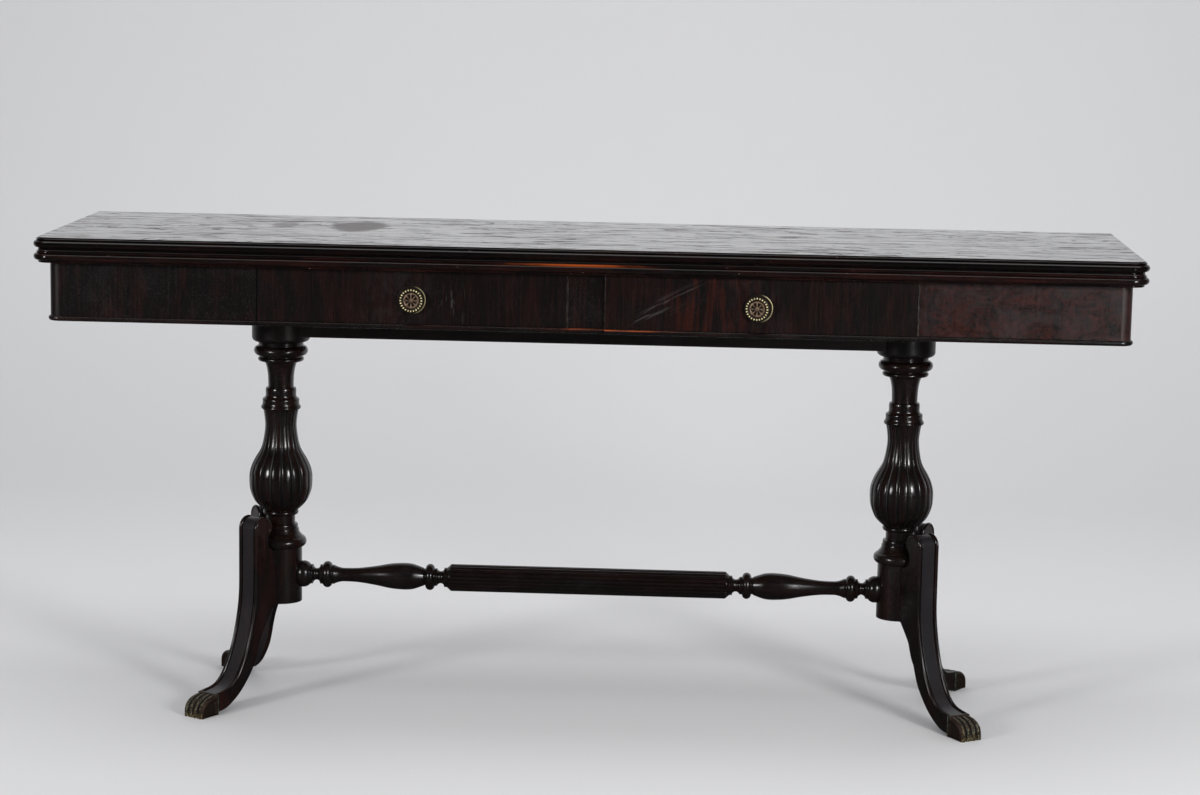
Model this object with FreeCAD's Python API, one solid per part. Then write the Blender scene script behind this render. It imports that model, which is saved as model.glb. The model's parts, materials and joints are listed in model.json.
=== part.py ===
import FreeCAD, Part
import math
import os
from FreeCAD import Vector

# Fold-over pier table, in millimetres. The origin lies on the floor under the middle of the top.
# X runs along the table, Y from the front to the back, and Z up.

# Whole table
table_length = 1704.0
table_depth = 460.0
table_height = 762.0

# Leaves of the top and their moulded edge
leaf_thickness = 19.5
leaf_corner_radius = 21.0
nose_reach = 7.0
leaf_joint_gap = 0.6
edge_bead_shares = ((0.0, 0.09), (0.38, 0.17), (0.20, 0.27))
edge_nose_shares = ((0.30, 0.27), (1.0, 0.54), (0.30, 0.82))
edge_foot_share = 0.88

# Back-flap hinges between the leaves
hinge_place_shares = (-0.72, 0.0, 0.72)
hinge_width = 60.0
hinge_plate_depth = 30.0
hinge_plate_thickness = 1.8
hinge_plate_sink = 0.3
knuckle_radius = 3.0
knuckle_share = 0.3
knuckle_gap = 0.3
knuckle_room = 0.6
hinge_side_room = 0.3
pin_radius = 1.5
pin_clearance = 0.05
screw_head_radius = 3.0
screw_shank_radius = 1.4
screw_length = 11.0
screw_clearance = 0.05
screw_place_shares = ((-0.36, 0.62), (0.0, 0.36), (0.36, 0.62))

# Frame under the top
front_overhang = 24.5
end_overhang = 22.5
back_overhang = 22.0
apron_height = 91.5
apron_thickness = 20.0
apron_corner_radius = 17.0
corner_post_size = 45.0
bead_height = 8.0
bead_reach = 3.5
bead_bearing = 14.0
end_panel_width = 323.0
stile_width = 56.0
bearer_width = 100.0
bearer_thickness = 12.0
centre_divider_thickness = 24.0
side_divider_thickness = 18.0
under_rail_width = 64.0
under_rail_height = 40.0

# Sliding top
top_travel = 200.0
guide_inset = 92.0
guide_width = 30.0
guide_height = 45.0
groove_drop = 22.0
groove_height = 11.0
groove_depth = 12.0
slide_clearance = 0.4
top_runner_width = 28.0
top_runner_height = 38.0
top_runner_margin = 10.0

# Drawers
drawer_gap = 1.0
drawer_stop_gap = 0.5
drawer_side_inset = 2.0
drawer_side_thickness = 10.0
drawer_top_gap = 11.5
drawer_back_gap = 25.7
drawer_back_thickness = 10.0
drawer_bottom_thickness = 5.0
drawer_bottom_rise = 8.0
drawer_groove_depth = 4.0
drawer_groove_clearance = 0.2
drawer_runner_thickness = 6.0
drawer_runner_ledge = 2.0
drawer_guide_height = 14.0
drawer_guide_clearance = 0.5
right_drawer_proud = 7.0
right_pull_shift = -4.0

# Drawer pulls
pull_plate_radius = 22.0
pull_plate_thickness = 2.0
pull_rim_height = 1.2
pull_rim_width = 2.4
pull_stem_radius = 5.5
pull_stem_length = 5.0
pull_face_radius = 18.5
pull_face_thickness = 5.0
pull_bead_count = 24
pull_bead_radius = 2.0
pull_bead_ring_radius = 16.2
pull_rosette_radius = 11.5
pull_rosette_height = 1.8
pull_crown_radius = 5.75
pull_rosette_shares = ((0.0, 1.0), (0.15, 0.62), (0.36, 0.31), (0.62, 0.10), (1.0, 0.0))
pull_pit_count = 8
pull_pit_radius = 1.3
pull_pit_depth = 1.5
pull_pit_ring_radius = 6.8
pull_boss_radius = 2.6
pull_screw_radius = 2.2
pull_screw_length = 14.0
pull_clearance = 0.1

# Pedestals
column_inset = 351.0
cap_height = 50.5
cap_radius = 46.5
cap_round = 7.0
cap_spigot_radius = 18.0
cap_spigot_height = 9.0
column_tenon_radius = 16.0
column_tenon_length = 36.0
joint_clearance = 0.1
top_quirk_radius = 36.0
top_quirk_height = 7.0
upper_torus_radius = 43.4
upper_torus_root = 36.5
upper_torus_height = 16.0
ring_quirk_radius = 33.5
ring_quirk_height = 2.5
upper_ring_radius = 36.9
upper_ring_root = 33.0
upper_ring_height = 6.5
cove_top_radius = 27.0
cove_height = 36.0
shaft_radius = 20.5
shaft_height = 7.0
collar_radius = 24.7
collar_height = 18.0
shoulder_radius = 29.5
shoulder_height = 12.0
lip_radius = 32.0
lip_root = 29.0
lip_height = 5.0
reeded_height = 165.5
reed_neck_radius = 25.2
bulb_radius = 50.9
reed_depth = 1.9
reed_count = 18
lower_ring_radius = 28.7
lower_ring_root = 25.5
lower_ring_height = 7.5
lower_neck_radius = 23.1
lower_neck_height = 15.0
step_radius = 27.9
step_height = 11.0
flare_radius = 36.0
flare_height = 10.0
lower_torus_radius = 41.8
lower_torus_root = 35.0
lower_torus_height = 17.0
foot_radius = 34.5
foot_height = 90.0
cove_shares = ((0.0, 1.0), (0.15, 0.62), (0.36, 0.31), (0.62, 0.10), (1.0, 0.0))
flare_shares = ((0.0, 0.0), (0.45, 0.30), (1.0, 1.0))
bulb_shares = (
    (0.0, 0.13), (0.07, 0.05), (0.17, 0.0), (0.32, 0.13), (0.40, 0.295), (0.48, 0.60), (0.56, 0.85),
    (0.64, 0.985), (0.71, 1.0), (0.78, 0.97), (0.85, 0.84), (0.915, 0.64), (0.97, 0.31), (1.0, 0.09),
)

# Legs, set near even thirds of a turn with the stretcher
leg_angle = 57.5
leg_thickness = 37.0
leg_face_reach = 38.2
leg_reach = 170.0
leg_face_drop = 10.0
leg_end_top = 34.0
leg_end_bottom = 4.0
leg_cope = 12.0
scroll_radius = 18.5
scroll_rise = 38.5
scroll_turn = 200.0
leg_bead_radius = 2.6
leg_bead_sink = 1.8
notch_clearance = 10.0
notch_rise = 4.5
tongue_thickness = 12.0
tongue_depth = 10.0
tongue_margin = 10.0
leg_stub_length = 12.0
leg_stub_width = 18.0
leg_stub_margin = 7.0
leg_outer_shares = ((0.10, 0.27), (0.20, 0.50), (0.37, 0.74), (0.52, 0.885), (0.70, 0.965))
leg_inner_shares = (
    (0.16, 0.18), (0.25, 0.33), (0.31, 0.47), (0.38, 0.61), (0.49, 0.74), (0.64, 0.87), (0.84, 0.975),
)

# Paw feet
paw_length = 40.0
paw_width = 40.0
paw_collar_length = 9.0
paw_toe_count = 4
paw_toe_height = 18.0
paw_ridge_top = 29.0
paw_seat_clearance = 0.3

# Stretcher
stretcher_rise = 44.5
stretcher_tenon_radius = 10.0
stretcher_tenon_depth = 20.0
stretcher_reed_radius = 21.9
stretcher_reed_depth = 2.0
stretcher_reed_count = 20
stretcher_end_length = 4.0
stretcher_end_radius = 19.5
stretcher_neck_radius = 10.6
stretcher_cove_length = 11.0
stretcher_neck_length = 9.0
stretcher_ring_radius = 21.6
stretcher_ring_root = 14.3
stretcher_inner_ring_length = 19.0
stretcher_bulb_length = 132.0
stretcher_bulb_radius = 21.7
stretcher_waist_radius = 11.0
stretcher_flare_length = 18.0
stretcher_outer_ring_length = 15.0
stretcher_waist_cove_length = 20.0
stretcher_last_ring_length = 22.0
stretcher_cope = 7.5
stretcher_bulb_shares = (
    (0.0, 0.33), (0.075, 0.67), (0.15, 0.935), (0.26, 1.0), (0.41, 0.86), (0.595, 0.43), (0.82, 0.056),
    (1.0, 0.0),
)
stretcher_flare_shares = ((0.0, 0.0), (0.45, 0.13), (1.0, 0.42))
stretcher_cove_shares = ((0.0, 1.0), (0.35, 0.40), (1.0, 0.0))
stretcher_waist_shares = ((0.0, 0.75), (0.25, 0.17), (0.5, 0.0), (0.75, 0.17), (1.0, 0.75))

# Places worked out from the sizes
half_length = table_length / 2
front_nose_y = -table_depth / 2
hinge_y = table_depth / 2 - knuckle_radius
leaf_back_y = hinge_y - leaf_joint_gap / 2
arris_x = half_length - nose_reach
arris_front_y = front_nose_y + nose_reach
seam_z = table_height - leaf_thickness
underside_z = seam_z - leaf_thickness
apron_x = half_length - end_overhang
apron_front_y = front_nose_y + front_overhang
apron_back_y = leaf_back_y - back_overhang
apron_bottom_z = underside_z - apron_height
board_bottom_z = apron_bottom_z + bead_height
inner_front_y = apron_front_y + apron_thickness
inner_back_y = apron_back_y - apron_thickness
panel_x = apron_x - end_panel_width
drawer_middle_x = (stile_width / 2 + panel_x) / 2
guide_place = panel_x + guide_inset
bearer_top_z = apron_bottom_z + bearer_thickness
runner_top_z = bearer_top_z + drawer_runner_thickness
column_place = half_length - column_inset
cap_bottom_z = apron_bottom_z - cap_height
reeds_top_z = (cap_bottom_z - top_quirk_height - upper_torus_height - ring_quirk_height - upper_ring_height
               - cove_height - shaft_height - collar_height - shoulder_height - lip_height)
reeds_bottom_z = reeds_top_z - reeded_height
foot_top_z = (reeds_bottom_z - lower_ring_height - lower_neck_height - step_height - flare_height
              - lower_torus_height)
column_bottom_z = foot_top_z - foot_height
leg_face_radius = lower_torus_radius + leg_face_reach
stretcher_z = column_bottom_z + stretcher_rise
stretcher_end_x = column_place - foot_radius + stretcher_cope
stretcher_members_length = (stretcher_end_length + stretcher_cove_length + stretcher_neck_length
                            + stretcher_inner_ring_length + stretcher_bulb_length + stretcher_flare_length
                            + stretcher_outer_ring_length + stretcher_waist_cove_length
                            + stretcher_last_ring_length)
stretcher_reeded_end_x = stretcher_end_x - stretcher_members_length
origin = Vector(0, 0, 0)
along_x = Vector(1, 0, 0)
along_y = Vector(0, 1, 0)
upward = Vector(0, 0, 1)


def upright(across, up):
    """A point of the plane of X and Z."""
    return Vector(across, 0, up)


def box(x0, x1, y0, y1, z0, z1):
    """A block between two corners."""
    return Part.makeBox(x1 - x0, y1 - y0, z1 - z0, Vector(x0, y0, z0))


def rod(radius, start, end):
    """A round rod between two points."""
    return Part.makeCylinder(radius, (end - start).Length, start, end - start)


def mirrored(shape):
    """The same shape on the other end of the table."""
    return shape.mirror(origin, along_x)


def turned_about_z(shape, degrees):
    """A copy turned about the upright axis through the origin."""
    copy = shape.copy()
    copy.rotate(origin, upward, degrees)
    return copy


def moved(shape, offset):
    """A copy moved by an offset."""
    copy = shape.copy()
    copy.translate(offset)
    return copy


class Outline:
    """A closed chain of lines, arcs and curves, drawn by (across, up) points in one plane."""

    def __init__(self, place, across, up):
        self.place = place
        self.first = place(across, up)
        self.here = self.first
        self.edges = []

    def line(self, across, up):
        there = self.place(across, up)
        if not there.isEqual(self.here, Part.Precision.confusion()):
            self.edges.append(Part.LineSegment(self.here, there).toShape())
            self.here = there

    def arc(self, middle, end):
        there = self.place(*end)
        self.edges.append(Part.Arc(self.here, self.place(*middle), there).toShape())
        self.here = there

    def curve(self, points):
        through = [self.here] + [self.place(*point) for point in points]
        spline = Part.BSplineCurve()
        spline.interpolate(through)
        self.edges.append(spline.toShape())
        self.here = through[-1]

    def smooth_curve(self, points):
        """A curve that leaves in the direction of the line drawn before it."""
        through = [self.here] + [self.place(*point) for point in points]
        before = self.edges[-1]
        spline = Part.BSplineCurve()
        spline.interpolate(Points=through, InitialTangent=before.tangentAt(before.LastParameter),
                           FinalTangent=(through[-1] - through[-2]).normalize())
        self.edges.append(spline.toShape())
        self.here = through[-1]

    def wire(self):
        if not self.here.isEqual(self.first, Part.Precision.confusion()):
            self.edges.append(Part.LineSegment(self.here, self.first).toShape())
        return Part.Wire(self.edges)

    def face(self):
        return Part.Face(self.wire())


class Turning:
    """The outline of a turned piece, drawn member by member along its axis."""

    def __init__(self, start, heading):
        self.at = start
        self.heading = heading
        self.outline = Outline(upright, 0, start)

    def straight(self, length, radius):
        self.outline.line(radius, self.at)
        self.at += self.heading * length
        self.outline.line(radius, self.at)

    def bead(self, length, radius, root):
        middle = self.at + self.heading * length / 2
        self.outline.line(root, self.at)
        self.at += self.heading * length
        self.outline.arc((radius, middle), (root, self.at))

    def sweep(self, length, low, high, shares):
        points = [(low + rise * (high - low), self.at + self.heading * along * length)
                  for along, rise in shares]
        self.outline.line(*points[0])
        self.outline.curve(points[1:])
        self.at += self.heading * length

    def solid(self):
        self.outline.line(0, self.at)
        return self.outline.face().revolve(origin, upward, 360)


def ring_point(radius, turn, height):
    """A point on a level ring round the upright axis."""
    return Vector(radius * math.cos(turn), radius * math.sin(turn), height)


def ring_points(radius, count, height):
    """Evenly spaced points on a level ring round the upright axis."""
    return [ring_point(radius, 2 * math.pi * number / count, height) for number in range(count)]


def lobed_wire(radius, depth, count, height):
    """A ring of convex reeds round the upright axis."""
    step = 2 * math.pi / count
    edges = []
    for number in range(count):
        ends = [number * step, (number + 1) * step]
        first, last = [ring_point(radius - depth, turn, height) for turn in ends]
        crest = ring_point(radius, (ends[0] + ends[1]) / 2, height)
        edges.append(Part.Arc(first, crest, last).toShape())
    return Part.Wire(edges)


def rounded_path(corners, radius, height):
    """A level path through the corners, each square corner rounded by an arc."""
    points = [Vector(x, y, height) for x, y in corners]
    edges = []
    here = points[0]
    for before, corner, after in zip(points, points[1:], points[2:]):
        back = (before - corner).normalize() * radius
        ahead = (after - corner).normalize() * radius
        centre = corner + back + ahead
        middle = centre + (corner - centre).normalize() * radius
        edges.append(Part.LineSegment(here, corner + back).toShape())
        edges.append(Part.Arc(corner + back, middle, corner + ahead).toShape())
        here = corner + ahead
    edges.append(Part.LineSegment(here, points[-1]).toShape())
    return Part.Wire(edges)


def start_of(path):
    """The place function for a section at a path's start: across points outwards, up is height."""
    first = path.Edges[0]
    start = first.valueAt(first.FirstParameter)
    outward = first.tangentAt(first.FirstParameter).cross(upward)
    return lambda across, up: start + outward * across + upward * up


def bead_strip(corners):
    """A half-round bead moulding along the bottom of the apron."""
    path = rounded_path(corners, apron_corner_radius, apron_bottom_z)
    section = Outline(start_of(path), -bead_bearing, 0)
    root = bead_reach - bead_height / 2
    section.line(root, 0)
    section.arc((bead_reach, bead_height / 2), (root, bead_height))
    section.line(-bead_bearing, bead_height)
    return path.makePipeShell([section.wire()], True, True)


def hinge_places():
    """The middle of each hinge along the table."""
    return [share * arris_x for share in hinge_place_shares]


def leaf(bottom):
    """One leaf: a plate with the moulded edge on its front and ends and a square back."""
    corners = ((-arris_x, leaf_back_y), (-arris_x, arris_front_y),
               (arris_x, arris_front_y), (arris_x, leaf_back_y))
    top = bottom + leaf_thickness
    path = rounded_path(corners, leaf_corner_radius, top)
    rim = path.Edges + [Part.LineSegment(path.Vertexes[-1].Point, path.Vertexes[0].Point).toShape()]
    plate = Part.Face(Part.Wire(rim)).extrude(-upward * leaf_thickness)

    def at(share):
        return share[0] * nose_reach, -share[1] * leaf_thickness

    section = Outline(start_of(path), 0, -edge_foot_share * leaf_thickness)
    section.line(*at(edge_nose_shares[2]))
    section.arc(at(edge_nose_shares[1]), at(edge_nose_shares[0]))
    section.line(*at(edge_bead_shares[2]))
    section.arc(at(edge_bead_shares[1]), at(edge_bead_shares[0]))
    moulding = path.makePipeShell([section.wire()], True, True)
    return plate.fuse(moulding).removeSplitter()


def hinge_screw(x, y, side, grow):
    """A countersunk screw through a plate, pointing down in the lower leaf and up in the upper one."""
    face = seam_z + side * hinge_plate_sink
    neck = face + side * hinge_plate_thickness
    tip = face + side * (screw_length + grow)
    head = Part.makeCone(screw_head_radius + grow, screw_shank_radius + grow, hinge_plate_thickness,
                         Vector(x, y, face), upward * side)
    return head.fuse(rod(screw_shank_radius + grow, Vector(x, y, neck), Vector(x, y, tip)))


def hinge_screws(side, grow):
    """All the screws of one leaf."""
    return [hinge_screw(x + along * hinge_width, leaf_back_y - in_from_back * hinge_plate_depth, side, grow)
            for x in hinge_places() for along, in_from_back in screw_place_shares]


def hinge_room(side):
    """What a leaf loses to its hinge plates, the knuckles and the screws."""
    rooms = []
    for x in hinge_places():
        plate_floor = seam_z + side * (hinge_plate_sink + hinge_plate_thickness)
        barrel_floor = seam_z + side * (knuckle_radius + knuckle_room)
        half = hinge_width / 2 + hinge_side_room
        barrel_front_y = hinge_y - knuckle_radius - knuckle_room
        low, high = sorted((seam_z, plate_floor))
        rooms.append(box(x - half, x + half, leaf_back_y - hinge_plate_depth, leaf_back_y, low, high))
        low, high = sorted((seam_z, barrel_floor))
        rooms.append(box(x - half, x + half, barrel_front_y, leaf_back_y, low, high))
    return rooms + hinge_screws(side, screw_clearance)


def knuckle_spans(x):
    """The two outer knuckles, on the lower plate, and the middle one, on the upper plate."""
    half = hinge_width / 2
    inner = half - knuckle_share * hinge_width
    outer_spans = [(x - half, x - inner), (x + inner, x + half)]
    return outer_spans, [(x - inner + knuckle_gap, x + inner - knuckle_gap)]


def hinge_plate(x, side):
    """One flap of a hinge with its knuckles, bored for the pin and for its screws."""
    outer, middle = knuckle_spans(x)
    own = outer if side < 0 else middle
    near = seam_z + side * hinge_plate_sink
    far = near + side * hinge_plate_thickness
    low, high = sorted((near, far))
    barrel_front_y = hinge_y - knuckle_radius - knuckle_room
    half = hinge_width / 2
    flap = box(x - half, x + half, leaf_back_y - hinge_plate_depth, barrel_front_y, low, high)
    for start, end in own:
        flap = flap.fuse(box(start, end, barrel_front_y, hinge_y, low, high))
        flap = flap.fuse(rod(knuckle_radius, Vector(start, hinge_y, seam_z), Vector(end, hinge_y, seam_z)))
    bore = rod(pin_radius + pin_clearance, Vector(x - hinge_width, hinge_y, seam_z),
               Vector(x + hinge_width, hinge_y, seam_z))
    return flap.cut([bore] + hinge_screws(side, screw_clearance))


def hinge_pin(x):
    """The pin of one hinge."""
    half = hinge_width / 2
    return rod(pin_radius, Vector(x - half, hinge_y, seam_z), Vector(x + half, hinge_y, seam_z))


def make_top():
    """The two leaves, their hinges and the runners under the lower leaf."""
    places = hinge_places()
    return {
        "upper_leaf": leaf(seam_z).cut(hinge_room(1)),
        "lower_leaf": leaf(underside_z).cut(hinge_room(-1)),
        "hinge_lower_plates": [hinge_plate(x, -1) for x in places],
        "hinge_upper_plates": [hinge_plate(x, 1) for x in places],
        "hinge_pins": [hinge_pin(x) for x in places],
        "hinge_lower_screws": hinge_screws(-1, 0),
        "hinge_upper_screws": hinge_screws(1, 0),
        "right_top_runner": top_runner(),
        "left_top_runner": mirrored(top_runner()),
    }


def top_runner_span():
    """The front and back of a top runner: what the travel leaves free of the space inside the frame."""
    back = inner_back_y - top_runner_margin
    front = inner_front_y + top_runner_margin + top_travel
    return front, back


def top_runner():
    """The right runner: a batten under the lower leaf with a tongue that rides in the guide rail."""
    front, back = top_runner_span()
    face = guide_place + guide_width + slide_clearance
    batten = box(face, face + top_runner_width, front, back, underside_z - top_runner_height, underside_z)
    tongue_top = underside_z - groove_drop - slide_clearance
    tongue_bottom = underside_z - groove_drop - groove_height + slide_clearance
    tip = guide_place + guide_width - groove_depth + slide_clearance
    return batten.fuse(box(tip, face, front, back, tongue_bottom, tongue_top))


def guide_rail():
    """The right guide rail: its groove is closed at the front, where it stops the runner."""
    front, back = top_runner_span()
    outer = guide_place + guide_width
    rail = box(guide_place, outer, inner_front_y, inner_back_y, underside_z - guide_height, underside_z)
    groove = box(outer - groove_depth, outer, front - top_travel - slide_clearance, inner_back_y,
                 underside_z - groove_drop - groove_height, underside_z - groove_drop)
    return rail.cut(groove)


def corner_post():
    """The right front corner, rounded on its outer edge."""
    inner_x = apron_x - corner_post_size
    back_y = apron_front_y + corner_post_size
    corners = ((inner_x, apron_front_y), (apron_x, apron_front_y), (apron_x, back_y))
    path = rounded_path(corners, apron_corner_radius, board_bottom_z)
    inside = Vector(inner_x, back_y, board_bottom_z)
    rim = path.Edges + [Part.LineSegment(path.Vertexes[-1].Point, inside).toShape(),
                        Part.LineSegment(inside, path.Vertexes[0].Point).toShape()]
    return Part.Face(Part.Wire(rim)).extrude(upward * (underside_z - board_bottom_z))


def drawer_runner(start, end, guide_start, guide_end):
    """A runner under one side of a drawer, with the guide that keeps the drawer straight."""
    ledge = box(start, end, inner_front_y, inner_back_y, bearer_top_z, runner_top_z)
    guide = box(guide_start, guide_end, inner_front_y, inner_back_y,
                runner_top_z, runner_top_z + drawer_guide_height)
    return ledge.fuse(guide).removeSplitter()


def drawer_side_faces():
    """The outer faces of a drawer's two sides, the inner side first."""
    inset = drawer_gap + drawer_side_inset
    return stile_width / 2 + inset, panel_x - inset


def drawer_runners():
    """The pair of runners of the right drawer."""
    inner_face, outer_face = drawer_side_faces()
    reach = drawer_side_thickness + drawer_runner_ledge
    divider_face = centre_divider_thickness / 2
    return [
        drawer_runner(divider_face, inner_face + reach, divider_face, inner_face - drawer_guide_clearance),
        drawer_runner(outer_face - reach, panel_x, outer_face + drawer_guide_clearance, panel_x),
    ]


def bearer():
    """The right bearer, bored for the spigot of the column cap."""
    board = box(column_place - bearer_width / 2, column_place + bearer_width / 2, inner_front_y, inner_back_y,
                apron_bottom_z, bearer_top_z)
    hole = rod(cap_spigot_radius + joint_clearance, upright(column_place, apron_bottom_z),
               upright(column_place, bearer_top_z))
    return board.cut(hole)


def under_rail():
    """The rail under the frame, coped to both caps."""
    half = under_rail_width / 2
    rail = box(-column_place, column_place, -half, half, apron_bottom_z - under_rail_height, apron_bottom_z)
    caps = [rod(cap_radius, upright(x, cap_bottom_z), upright(x, apron_bottom_z))
            for x in (-column_place, column_place)]
    return rail.cut(caps)


def make_frame():
    """The aprons, mouldings, bearers, dividers, runners and rails."""
    post_x = apron_x - corner_post_size
    post_back_y = apron_front_y + corner_post_size
    front_panel = box(panel_x, post_x, apron_front_y, inner_front_y, board_bottom_z, underside_z)
    end_apron = box(apron_x - apron_thickness, apron_x, post_back_y, apron_back_y,
                    board_bottom_z, underside_z)
    end_bead = bead_strip(((panel_x, apron_front_y), (apron_x, apron_front_y), (apron_x, apron_back_y)))
    half_stile = stile_width / 2
    stile = box(-half_stile, half_stile, apron_front_y, inner_front_y, board_bottom_z, underside_z)
    stile_bead = bead_strip(((-half_stile, apron_front_y), (half_stile, apron_front_y)))
    half_divider = centre_divider_thickness / 2
    side_divider = box(panel_x, panel_x + side_divider_thickness, inner_front_y, inner_back_y,
                       bearer_top_z, underside_z)
    frame = {
        "centre_stile": stile.fuse(stile_bead).removeSplitter(),
        "back_apron": box(apron_thickness - apron_x, apron_x - apron_thickness, inner_back_y, apron_back_y,
                          apron_bottom_z, underside_z),
        "centre_divider": box(-half_divider, half_divider, inner_front_y, inner_back_y,
                              apron_bottom_z, underside_z),
        "under_rail": under_rail(),
    }
    right_pieces = {
        "front_panel": front_panel,
        "corner_post": corner_post(),
        "end_apron": end_apron,
        "apron_bead": end_bead,
        "bearer": bearer(),
        "divider": side_divider,
        "guide_rail": guide_rail(),
    }
    for name, shape in right_pieces.items():
        frame["right_" + name] = shape
        frame["left_" + name] = mirrored(shape)
    frame["right_drawer_runners"] = drawer_runners()
    frame["left_drawer_runners"] = [mirrored(runner) for runner in drawer_runners()]
    return frame


def pull_plate(shift):
    """The round backplate of a pull with its raised rim, moved sideways by the shift."""
    plate = Turning(0, 1)
    plate.straight(pull_plate_thickness, pull_plate_radius)
    disc = plate.solid()
    rim = Turning(pull_plate_thickness, 1)
    rim.straight(pull_rim_height, pull_plate_radius)
    hollow = rod(pull_plate_radius - pull_rim_width, upright(0, pull_plate_thickness),
                 upright(0, pull_plate_thickness + pull_rim_height))
    hole = rod(pull_stem_radius + pull_clearance, origin, upright(0, pull_plate_thickness))
    shape = disc.fuse(rim.solid().cut(hollow)).cut(hole).removeSplitter()
    return facing_front(shape, shift)


def pull_knob(shift):
    """The knob: a beaded rosette on a stem, with the screw that holds it to the drawer front."""
    knob = Turning(-pull_screw_length, 1)
    knob.straight(pull_screw_length, pull_screw_radius)
    knob.straight(pull_plate_thickness + pull_stem_length, pull_stem_radius)
    knob.straight(pull_face_thickness, pull_face_radius)
    knob.sweep(pull_rosette_height, pull_crown_radius, pull_rosette_radius, pull_rosette_shares)
    shape = knob.solid()
    face = pull_plate_thickness + pull_stem_length + pull_face_thickness
    beads = [Part.makeSphere(pull_bead_radius, place)
             for place in ring_points(pull_bead_ring_radius, pull_bead_count, face)]
    boss = Part.makeSphere(pull_boss_radius, upright(0, face + pull_rosette_height))
    pits = [rod(pull_pit_radius, place - upward * pull_pit_depth, place + upward * pull_rosette_height)
            for place in ring_points(pull_pit_ring_radius, pull_pit_count, face)]
    return facing_front(shape.fuse(beads + [boss]).cut(pits), shift)


def facing_front(shape, shift):
    """A piece made on the upright axis, turned to the front near the middle of the right drawer."""
    copy = shape.copy()
    copy.rotate(origin, along_x, 90)
    copy.translate(Vector(drawer_middle_x + shift, apron_front_y, (apron_bottom_z + underside_z) / 2))
    return copy


def make_drawer(pull_shift):
    """The right drawer, pushed home, with its pull moved sideways by the shift."""
    front_x0 = stile_width / 2 + drawer_gap
    front_x1 = panel_x - drawer_gap
    front_back_y = inner_front_y - drawer_stop_gap
    inner_face, outer_face = drawer_side_faces()
    box_back_y = inner_back_y - drawer_back_gap
    side_bottom_z = runner_top_z
    side_top_z = underside_z - drawer_top_gap
    panel_bottom_z = side_bottom_z + drawer_bottom_rise
    panel_top_z = panel_bottom_z + drawer_bottom_thickness
    groove_bottom_z = panel_bottom_z - drawer_groove_clearance
    groove_top_z = panel_top_z + drawer_groove_clearance
    inner_x0 = inner_face + drawer_side_thickness
    inner_x1 = outer_face - drawer_side_thickness
    groove_x0 = inner_x0 - drawer_groove_depth
    groove_x1 = inner_x1 + drawer_groove_depth
    groove_front_y = front_back_y - drawer_groove_depth
    groove = box(groove_x0, groove_x1, groove_front_y, box_back_y, groove_bottom_z, groove_top_z)
    front = box(front_x0, front_x1, apron_front_y, front_back_y, board_bottom_z, underside_z - drawer_gap)
    screw_end = upright(0, -pull_screw_length - pull_clearance)
    screw_hole = facing_front(rod(pull_screw_radius + pull_clearance, screw_end, origin), pull_shift)
    inner_side = box(inner_face, inner_x0, front_back_y, box_back_y, side_bottom_z, side_top_z)
    outer_side = box(inner_x1, outer_face, front_back_y, box_back_y, side_bottom_z, side_top_z)
    return {
        "front": front.cut([groove, screw_hole]),
        "bead": bead_strip(((front_x0, apron_front_y), (front_x1, apron_front_y))),
        "inner_side": inner_side.cut(groove),
        "outer_side": outer_side.cut(groove),
        "back": box(inner_x0, inner_x1, box_back_y - drawer_back_thickness, box_back_y,
                    groove_top_z, side_top_z),
        "bottom": box(groove_x0 + drawer_groove_clearance, groove_x1 - drawer_groove_clearance,
                      groove_front_y + drawer_groove_clearance, box_back_y, panel_bottom_z, panel_top_z),
        "pull_plate": pull_plate(pull_shift),
        "pull_knob": pull_knob(pull_shift),
    }


def make_drawers():
    """Both drawers: the left one home, the right one a little proud and its pull off the middle."""
    drawers = {}
    for name, shape in make_drawer(0).items():
        drawers["left_drawer_" + name] = mirrored(shape)
    for name, shape in make_drawer(right_pull_shift).items():
        drawers["right_drawer_" + name] = moved(shape, -along_y * right_drawer_proud)
    return drawers


def column_cap():
    """The turned cap under the frame, with a spigot for the bearer and a socket for the column."""
    socket_top_z = cap_bottom_z + column_tenon_length + joint_clearance
    cap = Outline(upright, 0, apron_bottom_z + cap_spigot_height)
    cap.line(cap_spigot_radius, apron_bottom_z + cap_spigot_height)
    cap.line(cap_spigot_radius, apron_bottom_z)
    cap.line(cap_radius, apron_bottom_z)
    cap.line(cap_radius, cap_bottom_z + cap_round)
    bend = cap_round * (1 - math.sqrt(0.5))
    cap.arc((cap_radius - bend, cap_bottom_z + bend), (cap_radius - cap_round, cap_bottom_z))
    cap.line(column_tenon_radius + joint_clearance, cap_bottom_z)
    cap.line(column_tenon_radius + joint_clearance, socket_top_z)
    cap.line(0, socket_top_z)
    return cap.face().revolve(origin, upward, 360)


def reeded_bulb():
    """The reeded part of a column, a loft through rings of reeds."""
    rings = []
    for along, rise in bulb_shares:
        radius = reed_neck_radius + rise * (bulb_radius - reed_neck_radius)
        depth = reed_depth * radius / bulb_radius
        rings.append(lobed_wire(radius, depth, reed_count, reeds_top_z - along * reeded_height))
    return Part.makeLoft(rings, True)


def tongue(grow):
    """The tongue that joins a leg to its column, along +X, grown by a clearance for its slot."""
    half = tongue_thickness / 2 + grow
    return box(foot_radius - tongue_depth - grow, foot_radius + leg_cope, -half, half,
               column_bottom_z + tongue_margin - grow, foot_top_z - tongue_margin + grow)


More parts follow.
